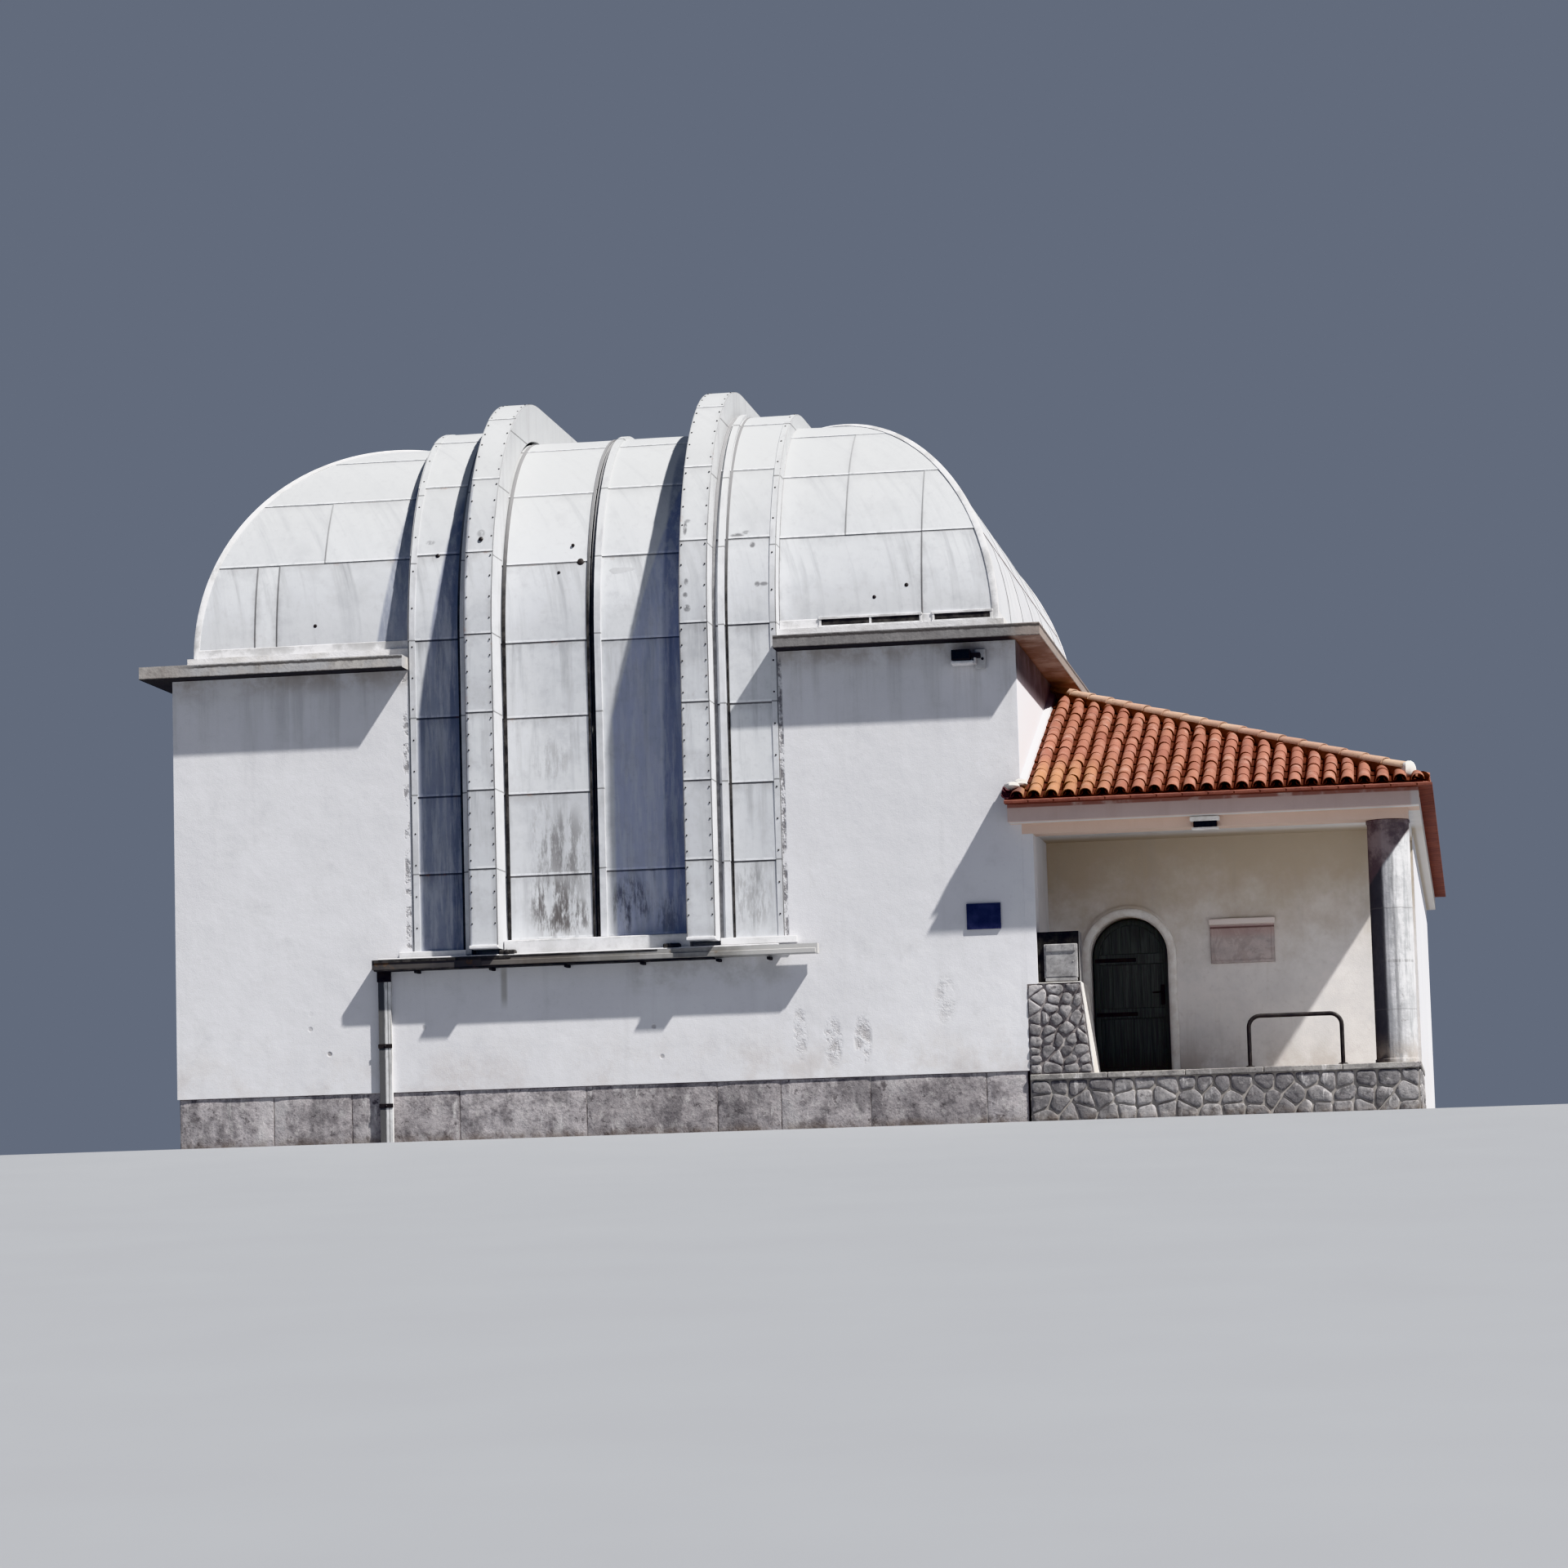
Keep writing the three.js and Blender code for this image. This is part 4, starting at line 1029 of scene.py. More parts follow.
def bar(P, x0, x1, o0, o1, u0, u1, a=(0.0, 0.0, 0.0), tops=None):
    """A bar of rectangular section along the arch, from out o0 to out o1."""
    us = stations(u0, u1)
    verts, faces, B = [], [], []
    for u in us:
        for x, o in ((x0, o0), (x1, o0), (x1, o1), (x0, o1)):
            y, z, _, _ = arch_at(o, u)
            verts.append((x, y, z))
            B.append((0.5, 0.5, u * 3.0))
    for i in range(len(us) - 1):
        for j in range(4):
            j2 = (j + 1) % 4
            faces.append((i * 4 + j, (i + 1) * 4 + j, (i + 1) * 4 + j2, i * 4 + j2))
    faces.append((0, 1, 2, 3))
    faces.append(tuple((len(us) - 1) * 4 + k for k in (3, 2, 1, 0)))
    # faces point outward when x runs with the arch on its left
    q = [Vector(verts[i]) for i in faces[2]]
    y, z, ny, nz = arch_at((o0 + o1) / 2, us[0])
    if (q[1] - q[0]).cross(q[2] - q[1]).dot(Vector((0, ny, nz))) < 0:
        faces = [f[::-1] for f in faces]
    P.add(verts, faces, [(0.5, 0.5, 0.3)] * len(verts), B)


# band sheets and what stands on them
for side, x0, x1 in (("left", SC - BAND_OUT, SC - RIB_OUT), ("right", SC + RIB_OUT, SC + BAND_OUT)):
    P = Piece()
    strip(P, x0 + 0.002, x1 - 0.002, 0.0, (3.16, 4.08, 5.02, 5.95, 7.0, 7.9, 8.6), 0.008, num=2 if side == "left" else 5)
    P.make("band_sheets_" + side, BAND_SKIN, slot="slit_sheet")
P = Piece()
bar(P, SC - RIB_OUT - 0.115, SC - RIB_OUT - 0.045, 0.0, 0.05, 0.01, 4.99)
bar(P, SC + RIB_OUT + 0.075, SC + RIB_OUT + 0.145, 0.0, 0.05, 0.01, 4.99)
bar(P, SC - BAND_OUT + 0.02, SC - BAND_OUT + 0.09, 0.0, 0.016, 0.01, 4.99)
bar(P, SC + BAND_OUT - 0.075, SC + BAND_OUT - 0.012, 0.0, 0.014, 0.01, 4.99)
P.make("band_upstands", M["slit_sheet"], slot="slit_sheet")
# dark strips beside the ribs and upstands: partly seals in the joints, partly painted shade
P = Piece()
bar(P, SC - RIB_OUT - 0.04, SC - RIB_OUT - 0.002, 0.0, 0.018, 0.01, 4.99)
bar(P, SC + RIB_OUT + 0.155, SC + RIB_OUT + 0.185, 0.0, 0.012, 0.01, 4.99)
bar(P, SC - RIB_OUT - 0.15, SC - RIB_OUT - 0.12, 0.0, 0.012, 0.01, 4.99)
P.make("band_seals", SEAL, slot="slit_sheet")
# grey strip right of rib B: partly the joint, partly painted shadow of the upstand
P = Piece()
bar(P, SC + RIB_OUT + 0.003, SC + RIB_OUT + 0.04, 0.0, 0.016, 0.01, 4.99)
P.make("band_seal_grey", SOFT_SEAL, slot="slit_sheet")

# rib boxes and their sheets: they stand for the two rib nodes, and their screws end at the nodes' height
for side, x0, x1 in (("left", SC - RIB_OUT, SC - RIB_IN), ("right", SC + RIB_IN, SC + RIB_OUT)):
    P = Piece()
    bar(P, x0, x1, -LEAF_DOWN + 0.05, RIB_UP - 0.0165, 0.08 / (FOOT - SILL_Z), 5 - 0.08 / (FOOT - SILL_Z))
    ob = P.make("rib_box_" + side, M["slit_sheet"], slot="slit_sheet")
    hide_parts("rib_" + side)
for side, x0, x1 in (("left", SC - RIB_OUT, SC - RIB_IN), ("right", SC + RIB_IN, SC + RIB_OUT)):
    P = Piece()
    strip(P, x0 + 0.002, x1 - 0.002, RIB_UP - 0.0165, (3.17, 4.10, 5.02, 5.95, 6.95, 7.9, 8.8), 0.028,
          num=8 if side == "left" else 11, lap=0.0055, base=0.0025, dent=0.0)
    P.make("rib_sheets_" + side, BAND_SKIN, slot="slit_sheet")

# shutter leaves
for side, x0, x1 in (("left", -1.14, -0.012), ("right", 0.022, 1.24)):
    body = "shutter_" + side
    P = Piece()
    seams = (3.11, 4.08, 4.99, 5.89, 6.85, 7.75, 8.45) if side == "left" else (3.13, 5.87, 6.9, 7.8, 8.45)
    strip(P, x0, x1, -LEAF_DOWN, seams, 0.055, num=14 if side == "left" else 18, lap=0.006, dent=0.006)
    P.make("leaf_sheets_" + side, LEAF_SKIN, body=body, slot="slit_sheet")
P = Piece()
bar(P, 0.063, 0.137, -LEAF_DOWN + 0.04, -LEAF_DOWN + 0.0475, 0.055, 4.945)
P.make("leaf_cover_strip", M["slit_sheet"], body="shutter_right", slot="slit_sheet")
# dark strips in the gap between the leaves and beside rib A's flange: a real gap deepened with painted shade
P = Piece()
bar(P, -0.036, -0.007, -LEAF_DOWN - 0.03, -LEAF_DOWN + 0.016, 0.055, 4.945)
bar(P, -1.062, -1.02, -LEAF_DOWN, -LEAF_DOWN + 0.014, 0.055, 4.945)
P.make("leaf_seal_left", SEAL, body="shutter_left", slot="slit_sheet")
P = Piece()
bar(P, 0.017, 0.052, -LEAF_DOWN - 0.03, -LEAF_DOWN + 0.014, 0.055, 4.945)
P.make("leaf_seal_right", SEAL, body="shutter_right", slot="slit_sheet")


# ---------------------------------------------------------------- vault sheets
def vault_at(face, h, t):
    """Point and normal on one face of the vault: h runs along the face, t up the curve."""
    z = FOOT + DOME_H * math.sin(t)
    if face in ("front", "back"):
        y = INSET + DOME_B * (1 - math.cos(t))
        n = Vector((0, -DOME_H * math.cos(t), DOME_B * math.sin(t))).normalized()
        return (Vector((h, y, z)), n) if face == "front" else (Vector((h, DEPTH - y, z)), Vector((0, -n.y, n.z)))
    x = HALF - DOME_A * (1 - math.cos(t))
    n = Vector((DOME_H * math.cos(t), 0, DOME_A * math.sin(t))).normalized()
    return (Vector((x, h, z)), n) if face == "right" else (Vector((-x, h, z)), Vector((-n.x, 0, n.z)))


def vault_limits(face, t):
    if face in ("front", "back"):
        x = HALF - DOME_A * (1 - math.cos(t))
        return -x, x
    y = INSET + DOME_B * (1 - math.cos(t))
    return y, DEPTH - y


def vault_sheet(P, face, h0, h1, t0, t1, num, arc):
    width = lambda t: min(h1, vault_limits(face, t)[1]) - max(h0, vault_limits(face, t)[0])
    if width(t0) < 0.05:
        return
    if width(t1) < 0.02:
        lo, hi = t0, t1
        for _ in range(30):
            mid = (lo + hi) / 2
            if width(mid) < 0.02:
                hi = mid
            else:
                lo = mid
        t1 = lo
    if t1 - t0 < 0.02:
        return
    n = max(2, round((t1 - t0) / 0.055))
    pts, nrm = [], []
    for i in range(n + 1):
        t = t0 + (t1 - t0) * i / n
        a, b = vault_limits(face, t)
        a, b = max(h0, a), min(h1, b)
        cols = columns(a, b, (h1 - h0) / max(2, round((h1 - h0) / 0.24))) if b - a > 0.06 else [a + (b - a) * k / 3 for k in range(4)]
        want = max(2, round((h1 - h0) / 0.24)) + 3
        cols = [a, a + min(0.02, (b - a) * 0.1)] + [a + (b - a) * k / (want - 3) for k in range(1, want - 3)] + [b - min(0.02, (b - a) * 0.1), b]
        row = [vault_at(face, h, t) for h in cols]
        pts.append([q[0] for q in row])
        nrm.append([q[1] for q in row])
    skin(P, pts, nrm, num, arc, sidelap=0.004, dent=0.007)


def tz(z):
    return math.asin(min(1.0, (z - FOOT) / DOME_H))


LOW, MID, HIGH, TOP = tz(7.01), tz(7.81), tz(8.42), math.pi / 2
tiers = ((0.004, LOW, 0.0), (LOW, MID, 1.2), (MID, HIGH, 2.2), (HIGH, TOP, 3.1))
bl, br = SC - BAND_OUT, SC + BAND_OUT
rows = {
    "left": {
        "front": (((-9, -4.11, -3.84, bl), (-9, -3.28, bl), (-9, bl), (-9, bl))),
        "back": (((-9, -3.9, -3.0, bl), (-9, -3.4, bl), (-9, -3.1, bl), (-9, bl))),
        "left": (((-9, 1.7, 3.4, 5.1, 6.8, 8.4, 19), (-9, 2.5, 4.2, 5.9, 7.6, 19),
                  (-9, 3.3, 5.0, 6.8, 19), (-9, 4.1, 6.0, 19))),
    },
    "right": {
        "front": (((br, 3.97, 9), (br, 3.06, 3.97, 9), (br, 3.06, 9), (br, 9))),
        "back": (((br, 3.0, 3.9, 9), (br, 3.4, 9), (br, 3.1, 9), (br, 9))),
        "right": (((-9, 1.7, 3.4, 5.1, 6.8, 8.4, 19), (-9, 2.5, 4.2, 5.9, 7.6, 19),
                   (-9, 3.3, 5.0, 6.8, 19), (-9, 4.1, 6.0, 19))),
    },
}
for side, faces_ in rows.items():
    P = Piece()
    num = 21 if side == "left" else 47
    for face, levels in faces_.items():
        for (t0, t1, arc), cuts in zip(tiers, levels):
            for h0, h1 in zip(cuts, cuts[1:]):
                a, b = vault_limits(face, t0)
                if face in ("front", "back"):
                    if side == "left":
                        b = bl
                    else:
                        a = br
                vault_sheet(P, face, max(h0, a), min(h1, b) if h1 > 8 or h0 < -8 else h1, t0,
                            min(TOP, t1 + (0.012 if t1 < TOP else 0)), num, arc)
                num += 1
    # flat crown beside the bands
    x0, x1 = (-(HALF - DOME_A), bl) if side == "left" else (br, HALF - DOME_A)
    for i in range(4):
        ya = INSET + DOME_B + (DEPTH - 2 * INSET - 2 * DOME_B) * i / 4
        yb = INSET + DOME_B + (DEPTH - 2 * INSET - 2 * DOME_B) * (i + 1) / 4
        pts = [[Vector((x, y, FOOT + DOME_H)) for x in (x0, (x0 + x1) / 2, x1)] for y in (ya, (ya + yb) / 2, yb)]
        skin(P, pts, [[Vector((0, 0, 1))] * 3] * 3, num + i, 4.0, lap=0.004, dent=0.0)
    P.make("vault_sheets_" + side, DOME_SKIN, slot="dome_sheet")

# hip strips over the joints of the vault faces, and the ones along the foot
P = Piece()
for sx in (-1, 1):
    for sy in (0, 1):
        rings = []
        n = 40
        for i in range(n + 1):
            t = 0.002 + (TOP - 0.002) * i / n
            x = (HALF - DOME_A * (1 - math.cos(t))) * sx
            y = INSET + DOME_B * (1 - math.cos(t))
            z = FOOT + DOME_H * math.sin(t)
            nf = Vector((0, -DOME_H * math.cos(t), DOME_B * math.sin(t))).normalized()
            ns = Vector((sx * DOME_H * math.cos(t), 0, DOME_A * math.sin(t))).normalized()
            q = Vector((x, y, z))
            w = 0.055
            ring = [q + Vector((-sx * w, 0, 0)) + nf * 0.0, q + Vector((-sx * w, 0, 0)) + nf * 0.016,
                    q + Vector((-sx * w * 0.3, 0, 0)) + nf * 0.024, q + (nf + ns) * 0.017,
                    q + Vector((0, w * 0.3, 0)) + ns * 0.024, q + Vector((0, w, 0)) + ns * 0.016, q + Vector((0, w, 0)) + ns * 0.0]
            if sy:
                ring = [Vector((p.x, DEPTH - p.y, p.z)) for p in ring]
            rings.append(ring)
        k = len(rings[0])
        verts = [p for r in rings for p in r]
        faces = [(i * k + j, i * k + j + 1, (i + 1) * k + j + 1, (i + 1) * k + j) for i in range(n) for j in range(k - 1)]
        faces.append(tuple(range(k)))
        faces.append(tuple(range(n * k, n * k + k)))
        q = [verts[i] for i in faces[2]]
        if (q[1] - q[0]).cross(q[2] - q[1]).dot(Vector((sx, 1 if sy else -1, 0.3))) < 0:
            faces = [f[::-1] for f in faces]
        P.add(verts, faces, (0.5, 0.5, 0.2), (0.5, 0.5, 1.0))
P.make("hip_strips", M["white_trim"], slot="dome_sheet")

P = Piece()
f0, f1 = FOOT - 0.055, FOOT + 0.120
for y0, y1 in ((INSET - 0.018, INSET + 0.002), (DEPTH - INSET - 0.002, DEPTH - INSET + 0.018)):
    bbox(P, -HALF - 0.016, bl - 0.004, y0, y1, f0, f1, 0.005)
    bbox(P, br + 0.004, HALF + 0.016, y0, y1, f0, f1, 0.005)
bbox(P, -HALF - 0.018, -HALF + 0.002, INSET + 0.003, DEPTH - INSET - 0.003, f0, f1, 0.005)
bbox(P, HALF - 0.002, HALF + 0.018, INSET + 0.003, DEPTH - INSET - 0.003, f0, f1, 0.005)
P.make("foot_flashing", M["white_trim"], slot="dome_sheet")

# ventilation slots at the foot of the right half
P, Q = Piece(), Piece()


def vent(face, h0, h1):
    def blk(T, a0, a1, d0, d1, z0, z1, c=0.003):
        if face == "front":
            bbox(T, a0, a1, INSET - d1, INSET - d0, z0, z1, c)
        elif face == "back":
            bbox(T, a0, a1, DEPTH - INSET + d0, DEPTH - INSET + d1, z0, z1, c)
        else:
            bbox(T, HALF + d0, HALF + d1, a0, a1, z0, z1, c)
    # dark blocks fill the slots: painted shade inside the openings
    blk(Q, h0, h1, -0.02, 0.022, 5.912, 5.984)
    blk(P, h0 - 0.02, h1 + 0.02, -0.02, 0.034, 5.984, 6.012)
    blk(P, h0 - 0.02, h1 + 0.02, -0.02, 0.030, 5.890, 5.912)
    n = max(1, round((h1 - h0) / 0.5))
    for i in range(n + 1):
        h = h0 + (h1 - h0) * i / n
        blk(P, h - 0.014, h + 0.014, -0.02, 0.028, 5.900, 5.99)


vent("front", 2.76, 3.95)
vent("front", 4.10, 4.78)
vent("back", 2.9, 4.0)
vent("right", 1.6, 3.2)
vent("right", 6.9, 8.5)
P.make("vent_frames", M["white_trim"], slot="dome_sheet")
Q.make("vent_slots", SEAL, slot="dome_sheet")

# small caps, plugs and dark marks on the sheets
marks = {
    "building": [(-1.826, 0.185, 6.986, 0), (-1.224, -0.133, 7.106, 0), (3.407, 0.242, 6.223, 1), (3.79, 0.258, 6.35, 1), (-3.363, 0.242, 6.223, 1)],
    "shutter_left": [(-0.12, 0.328, 6.846, 2, 0.046), (-0.22, 0.385, 7.06, 2, 0.020), (-0.379, 0.292, 6.722, 2, 0.020)],
}
for body, rows_ in marks.items():
    P = Piece()
    for x, y, z, kind, *big in rows_:
        # the slope of the surface there, from the ellipse it lies on
        a = {0: DOME_B + INSET, 1: DOME_B, 2: DOME_B + INSET - LEAF_DOWN}[kind]
        b = {0: DOME_H + BAND_UP, 1: DOME_H, 2: DOME_H + BAND_UP - LEAF_DOWN}[kind]
        t = math.asin(max(0.0, min(1.0, (z - FOOT) / b)))
        d = Vector((0, -b * math.cos(t), a * math.sin(t))).normalized()
        stud(P, Vector((x, y, z)) - d * 0.004, d, big[0] if big else 0.028, 0.020, 12)
    P.make("sheet_plugs" if body == "building" else "leaf_plugs", M["dark_metal"], body=body, slot="slit_sheet")

# screw heads along hips, ribs and lips
P = Piece()
for x in (SC - RIB_OUT + 0.035, SC - RIB_IN - 0.03, SC + RIB_IN + 0.03, SC + RIB_OUT - 0.03):
    for i in range(2, 98):
        u = i * 0.05
        if u < 0.06 or u > 4.94:
            continue
        y, z, ny, nz = arch_at(RIB_UP - 0.010, u)
        stud(P, (x, y, z), (0, ny, nz), 0.010, 0.008, 6)
for x in (bl + 0.055, br - 0.045):
    for i in range(1, 50):
        y, z, ny, nz = arch_at(0.014, i * 0.1)
        stud(P, (x, y, z), (0, ny, nz), 0.011, 0.007, 6)
P.make("sheet_screws", M["dark_metal"], slot="slit_sheet")

# ---------------------------------------------------------------- sill, ledge and what hangs on it
for nm, mir in (("front", False), ("back", True)):
    P, Q = Piece(), Piece()

    def blk(T, x0, x1, y0, y1, z0, z1, c=0.005):
        if mir:
            y0, y1 = DEPTH - y1, DEPTH - y0
        bbox(T, x0, x1, y0, y1, z0, z1, c)
    # drip boards along the sill and under the bands
    blk(P, SC - RIB_IN + 0.012, SC + RIB_IN - 0.012, -0.075, -0.050, 2.165, 2.330)
    blk(P, -2.33, -1.52, -0.060, -0.002, 2.168, 2.245)
    blk(P, 1.52, 2.42, -0.060, -0.002, 2.180, 2.260)
    # shoes under the ribs
    for x0, x1 in ((SC - RIB_OUT, SC - RIB_IN), (SC + RIB_IN, SC + RIB_OUT)):
        blk(P, x0 - 0.003, x1 + 0.003, -0.358, -0.300, 2.2305, 2.264)
    # front rail of the ledge and the strip on its top
    blk(P, -1.30, 2.66, -0.236, -0.2205, 2.040, 2.098)
    blk(P, -2.55, 2.22, -0.200, -0.150, 2.1505, 2.166)
    P.make("sill_boards_" + nm, M["white_trim"], slot="white_trim")
    # dark joints, the running gear and the brackets
    blk(Q, -2.60, -0.95, -0.228, -0.2205, 2.112, 2.149, 0.002)
    blk(Q, -0.95, 0.80, -0.226, -0.2205, 2.134, 2.149, 0.002)
    blk(Q, -2.60, 1.45, -0.2195, -0.02, 2.018, 2.0345, 0.003)
    for x in (-2.1, -1.2, -0.3, 0.6, 1.5, 2.1):
        blk(Q, x - 0.02, x + 0.02, -0.19, -0.004, 1.985, 2.0175, 0.003)
    for x in (-1.0, 0.96):
        blk(Q, x - 0.10, x + 0.10, -0.20, -0.09, 2.1505, 2.215, 0.012)
        stud(Q, (x, (-0.20 if not mir else DEPTH + 0.20), 2.19), (0, -1 if not mir else 1, 0), 0.028, 0.02, 12)
    Q.make("sill_gear_" + nm, SEAL, slot="white_trim")
P = Piece()
bbox(P, -2.60, -2.43, -0.075, -0.0605, 1.90, 2.03, 0.004)
for z in (1.93, 2.0):
    stud(P, (-2.515, -0.075, z), (0, -1, 0), 0.014, 0.01, 8)
for z in (0.42, 1.12):
    bbox(P, -2.60, -2.43, -0.068, -0.0605, z, z + 0.05, 0.003)
    stud(P, (-2.515, -0.068, z + 0.025), (0, -1, 0), 0.011, 0.008, 8)
P.make("post_straps", M["dark_metal"], slot="white_trim")


# ---------------------------------------------------------------- roof tiles
def tile(P, o, a, u, n, r0, r1, L, z0, z1, up_, rnd, k=7, h=1.0, th=0.013):
    """A tapered half tube: r0 at its low end, r1 at its high end, z0 and z1 the rim heights there."""
    rings = []
    for s, r, z in ((0.0, r0, z0), (L, r1, z1)):
        for rr in (r, r - th):
            ring = []
            for i in range(k + 1):
                t = math.pi * i / k
                xx, zz = rr * math.cos(t), rr * h * math.sin(t)
                ring.append(o + a * xx + u * s + n * (z + (zz if up_ else -zz)))
            rings.append(ring)
    verts = [p for r in rings for p in r]
    K = k + 1
    lo_o, lo_i, hi_o, hi_i = 0, K, 2 * K, 3 * K
    faces = []
    for i in range(k):
        faces.append((lo_o + i, lo_o + i + 1, hi_o + i + 1, hi_o + i))
        faces.append((lo_i + i + 1, lo_i + i, hi_i + i, hi_i + i + 1))
        faces.append((lo_o + i + 1, lo_o + i, lo_i + i, lo_i + i + 1))
        faces.append((hi_o + i, hi_o + i + 1, hi_i + i + 1, hi_i + i))
    faces.append((lo_o, hi_o, hi_i, lo_i))
    faces.append((hi_o + k, lo_o + k, lo_i + k, hi_i + k))
    q = [verts[i] for i in faces[0]]
    if (q[1] - q[0]).cross(q[2] - q[1]).dot(n if up_ else -n) < 0:
        faces = [f[::-1] for f in faces]
    at = [(rnd[0], rnd[1], 0.0)] * (2 * K) + [(rnd[0], rnd[1], 1.0)] * (2 * K)
    P.add(verts, faces, at)


PITCH, SHOW, LONG = 0.198, 0.335, 0.43
rng = random.Random(41)
CS = math.sqrt(1 + SLOPE * SLOPE)


def tile_field(P, Q, O, a, u, n, cols, reach):
    """cols: distances of the covers along the eave; reach(s) says how far up the slope a column goes."""
    for s in cols:
        for kind in ("channel", "cover"):
            c = s if kind == "cover" else s - PITCH / 2
            L = reach(c)
            if L is None:
                continue
            j = 0
            while j * SHOW < L:
                top_ = min(LONG, L - j * SHOW + 0.02)
                if top_ < 0.08:
                    break
                ja, jz = rng.uniform(-0.006, 0.006), rng.uniform(-0.004, 0.004)
                turn = rng.uniform(-0.022, 0.022)
                o = O + a * (c + ja) + u * (j * SHOW + (rng.uniform(-0.012, 0.012) if j else rng.uniform(0.0, 0.012)))
                uu = (u + a * turn).normalized()
                rnd = (rng.random(), rng.random())
                k = top_ / LONG
                if kind == "cover":
                    tile(P, o, a, uu, n, 0.077, 0.077 - 0.009 * k, top_, 0.032 + jz, 0.032 - 0.004 * k + jz, True, rnd, 8, h=0.95, th=0.008)
                else:
                    tile(Q, o - u * 0.0, a, uu, n, 0.076, 0.076 + 0.012 * k, top_, 0.062 + jz, 0.062 - 0.010 * k + jz, False, rnd, 6, h=0.66, th=0.011)
                j += 1


def front_reach(x):
    if x < XL + 0.02:
        return 0.47 * CS
    return (EAVE_X - x + 0.12) * CS if x < EAVE_X - 0.02 else None


def side_reach(y):
    d = min(y - EAVE_Y0, EAVE_Y1 - y)
    if d < 0.02:
        return None
    return min((d + 0.12) * CS, (EAVE_X - XL) * CS - 0.02)


Zn = Vector((0, 0, 1))
hipf = Vector((1, 1, 0)).normalized()
# front slope
uf = Vector((0, 1, SLOPE)).normalized()
nf = Vector((0, -SLOPE, 1)).normalized()
P, Q = Piece(), Piece()
O = Vector((0, EAVE_Y0 + 0.046, EAVE_Z + 0.014))
cols = [5.072 + PITCH * i for i in range(int((EAVE_X - 5.072) / PITCH) + 1)]
tile_field(P, Q, O, Vector((1, 0, 0)), uf, nf, cols, front_reach)
cut_front = [((EAVE_X, EAVE_Y0, 0), hipf), ((EAVE_X - 0.003, 0, 0), Vector((1, 0, 0)))]
P.make("tiles_front_covers", COVER, slot="roof_tile", cuts=cut_front)
Q.make("tiles_front_channels", CHANNEL, slot="roof_tile", cuts=cut_front)
# right slope
ur = Vector((-1, 0, SLOPE)).normalized()
nr = Vector((SLOPE, 0, 1)).normalized()
P, Q = Piece(), Piece()
O = Vector((EAVE_X - 0.046, 0, EAVE_Z + 0.014))
ncol = int((EAVE_Y1 - EAVE_Y0 - 0.14) / PITCH) + 1
cols = [EAVE_Y0 + 0.09 + PITCH * i for i in range(ncol)]
tile_field(P, Q, O, Vector((0, 1, 0)), ur, nr, cols, side_reach)
cut_side = [((EAVE_X, EAVE_Y0, 0), -hipf), ((EAVE_X, EAVE_Y1, 0), Vector((-1, 1, 0)).normalized()),
            ((XL + 0.002, 0, 0), Vector((-1, 0, 0))), ((0, EAVE_Y0 + 0.003, 0), Vector((0, -1, 0))), ((0, EAVE_Y1 - 0.003, 0), Vector((0, 1, 0)))]
P.make("tiles_right_covers", COVER, slot="roof_tile", cuts=cut_side)
Q.make("tiles_right_channels", CHANNEL, slot="roof_tile", cuts=cut_side)
# back slope
ub = Vector((0, -1, SLOPE)).normalized()
nb = Vector((0, SLOPE, 1)).normalized()
P, Q = Piece(), Piece()
O = Vector((0, EAVE_Y1 - 0.046, EAVE_Z + 0.014))
cols = [XL + 0.10 + PITCH * i for i in range(int((EAVE_X - XL - 0.1) / PITCH) + 1)]
tile_field(P, Q, O, Vector((1, 0, 0)), ub, nb, cols, lambda x: (EAVE_X - x + 0.12) * CS if XL + 0.08 < x < EAVE_X - 0.02 else None)
cut_back = [((EAVE_X, EAVE_Y1, 0), Vector((1, -1, 0)).normalized()), ((EAVE_X - 0.003, 0, 0), Vector((1, 0, 0))),
            ((XL + 0.002, 0, 0), Vector((-1, 0, 0)))]
P.make("tiles_back_covers", COVER, slot="roof_tile", cuts=cut_back)
Q.make("tiles_back_channels", CHANNEL, slot="roof_tile", cuts=cut_back)

# hips: a mortar bed with half-round tiles on it
P, Q = Piece(), Piece()
APEX = EAVE_X - XL
for y0, sy in ((EAVE_Y0, 1), (EAVE_Y1, -1)):
    start = Vector((EAVE_X, y0, EAVE_Z))
    d = Vector((-1, sy, SLOPE))
    length = APEX * d.length
    d = d.normalized()
    side = Vector((sy, 1, 0)).normalized()
    nn = side.cross(d).normalized()
    nn = nn if nn.z > 0 else -nn
    s, i = 0.42, 0
    while s < length - 0.15:
        L = min(0.43, length - s - 0.02)
        o = start + d * s + side * rng.uniform(-0.006, 0.006)
        tile(P, o, side, d, nn, 0.088, 0.078, L, 0.094, 0.082, True, (rng.random(), rng.random()), 10, h=0.85, th=0.012)
        s += 0.355
        i += 1
    n = 46
    verts, faces = [], []
    for k in range(n + 1):
        s = 0.40 + (length - 0.44) * k / n
        c = start + d * s
        w = 0.080 + 0.014 * noise.noise(Vector((s * 5, y0, 1)))
        h = 0.098 + 0.010 * noise.noise(Vector((s * 6, y0, 4)))
        for xx, zz in ((-w, 0.0), (-w * 0.95, h), (w * 0.95, h), (w, 0.0)):
            verts.append(c + side * xx + nn * zz)
    for k in range(n):
        for j in range(3):
            faces.append((k * 4 + j, k * 4 + j + 1, k * 4 + j + 5, k * 4 + j + 4))
    faces.append((0, 1, 2, 3))
    faces.append(tuple(n * 4 + j for j in (3, 2, 1, 0)))
    q = [verts[i] for i in faces[1]]
    if (q[1] - q[0]).cross(q[2] - q[1]).dot(nn) < 0:
        faces = [f[::-1] for f in faces]
    Q.add(verts, faces)
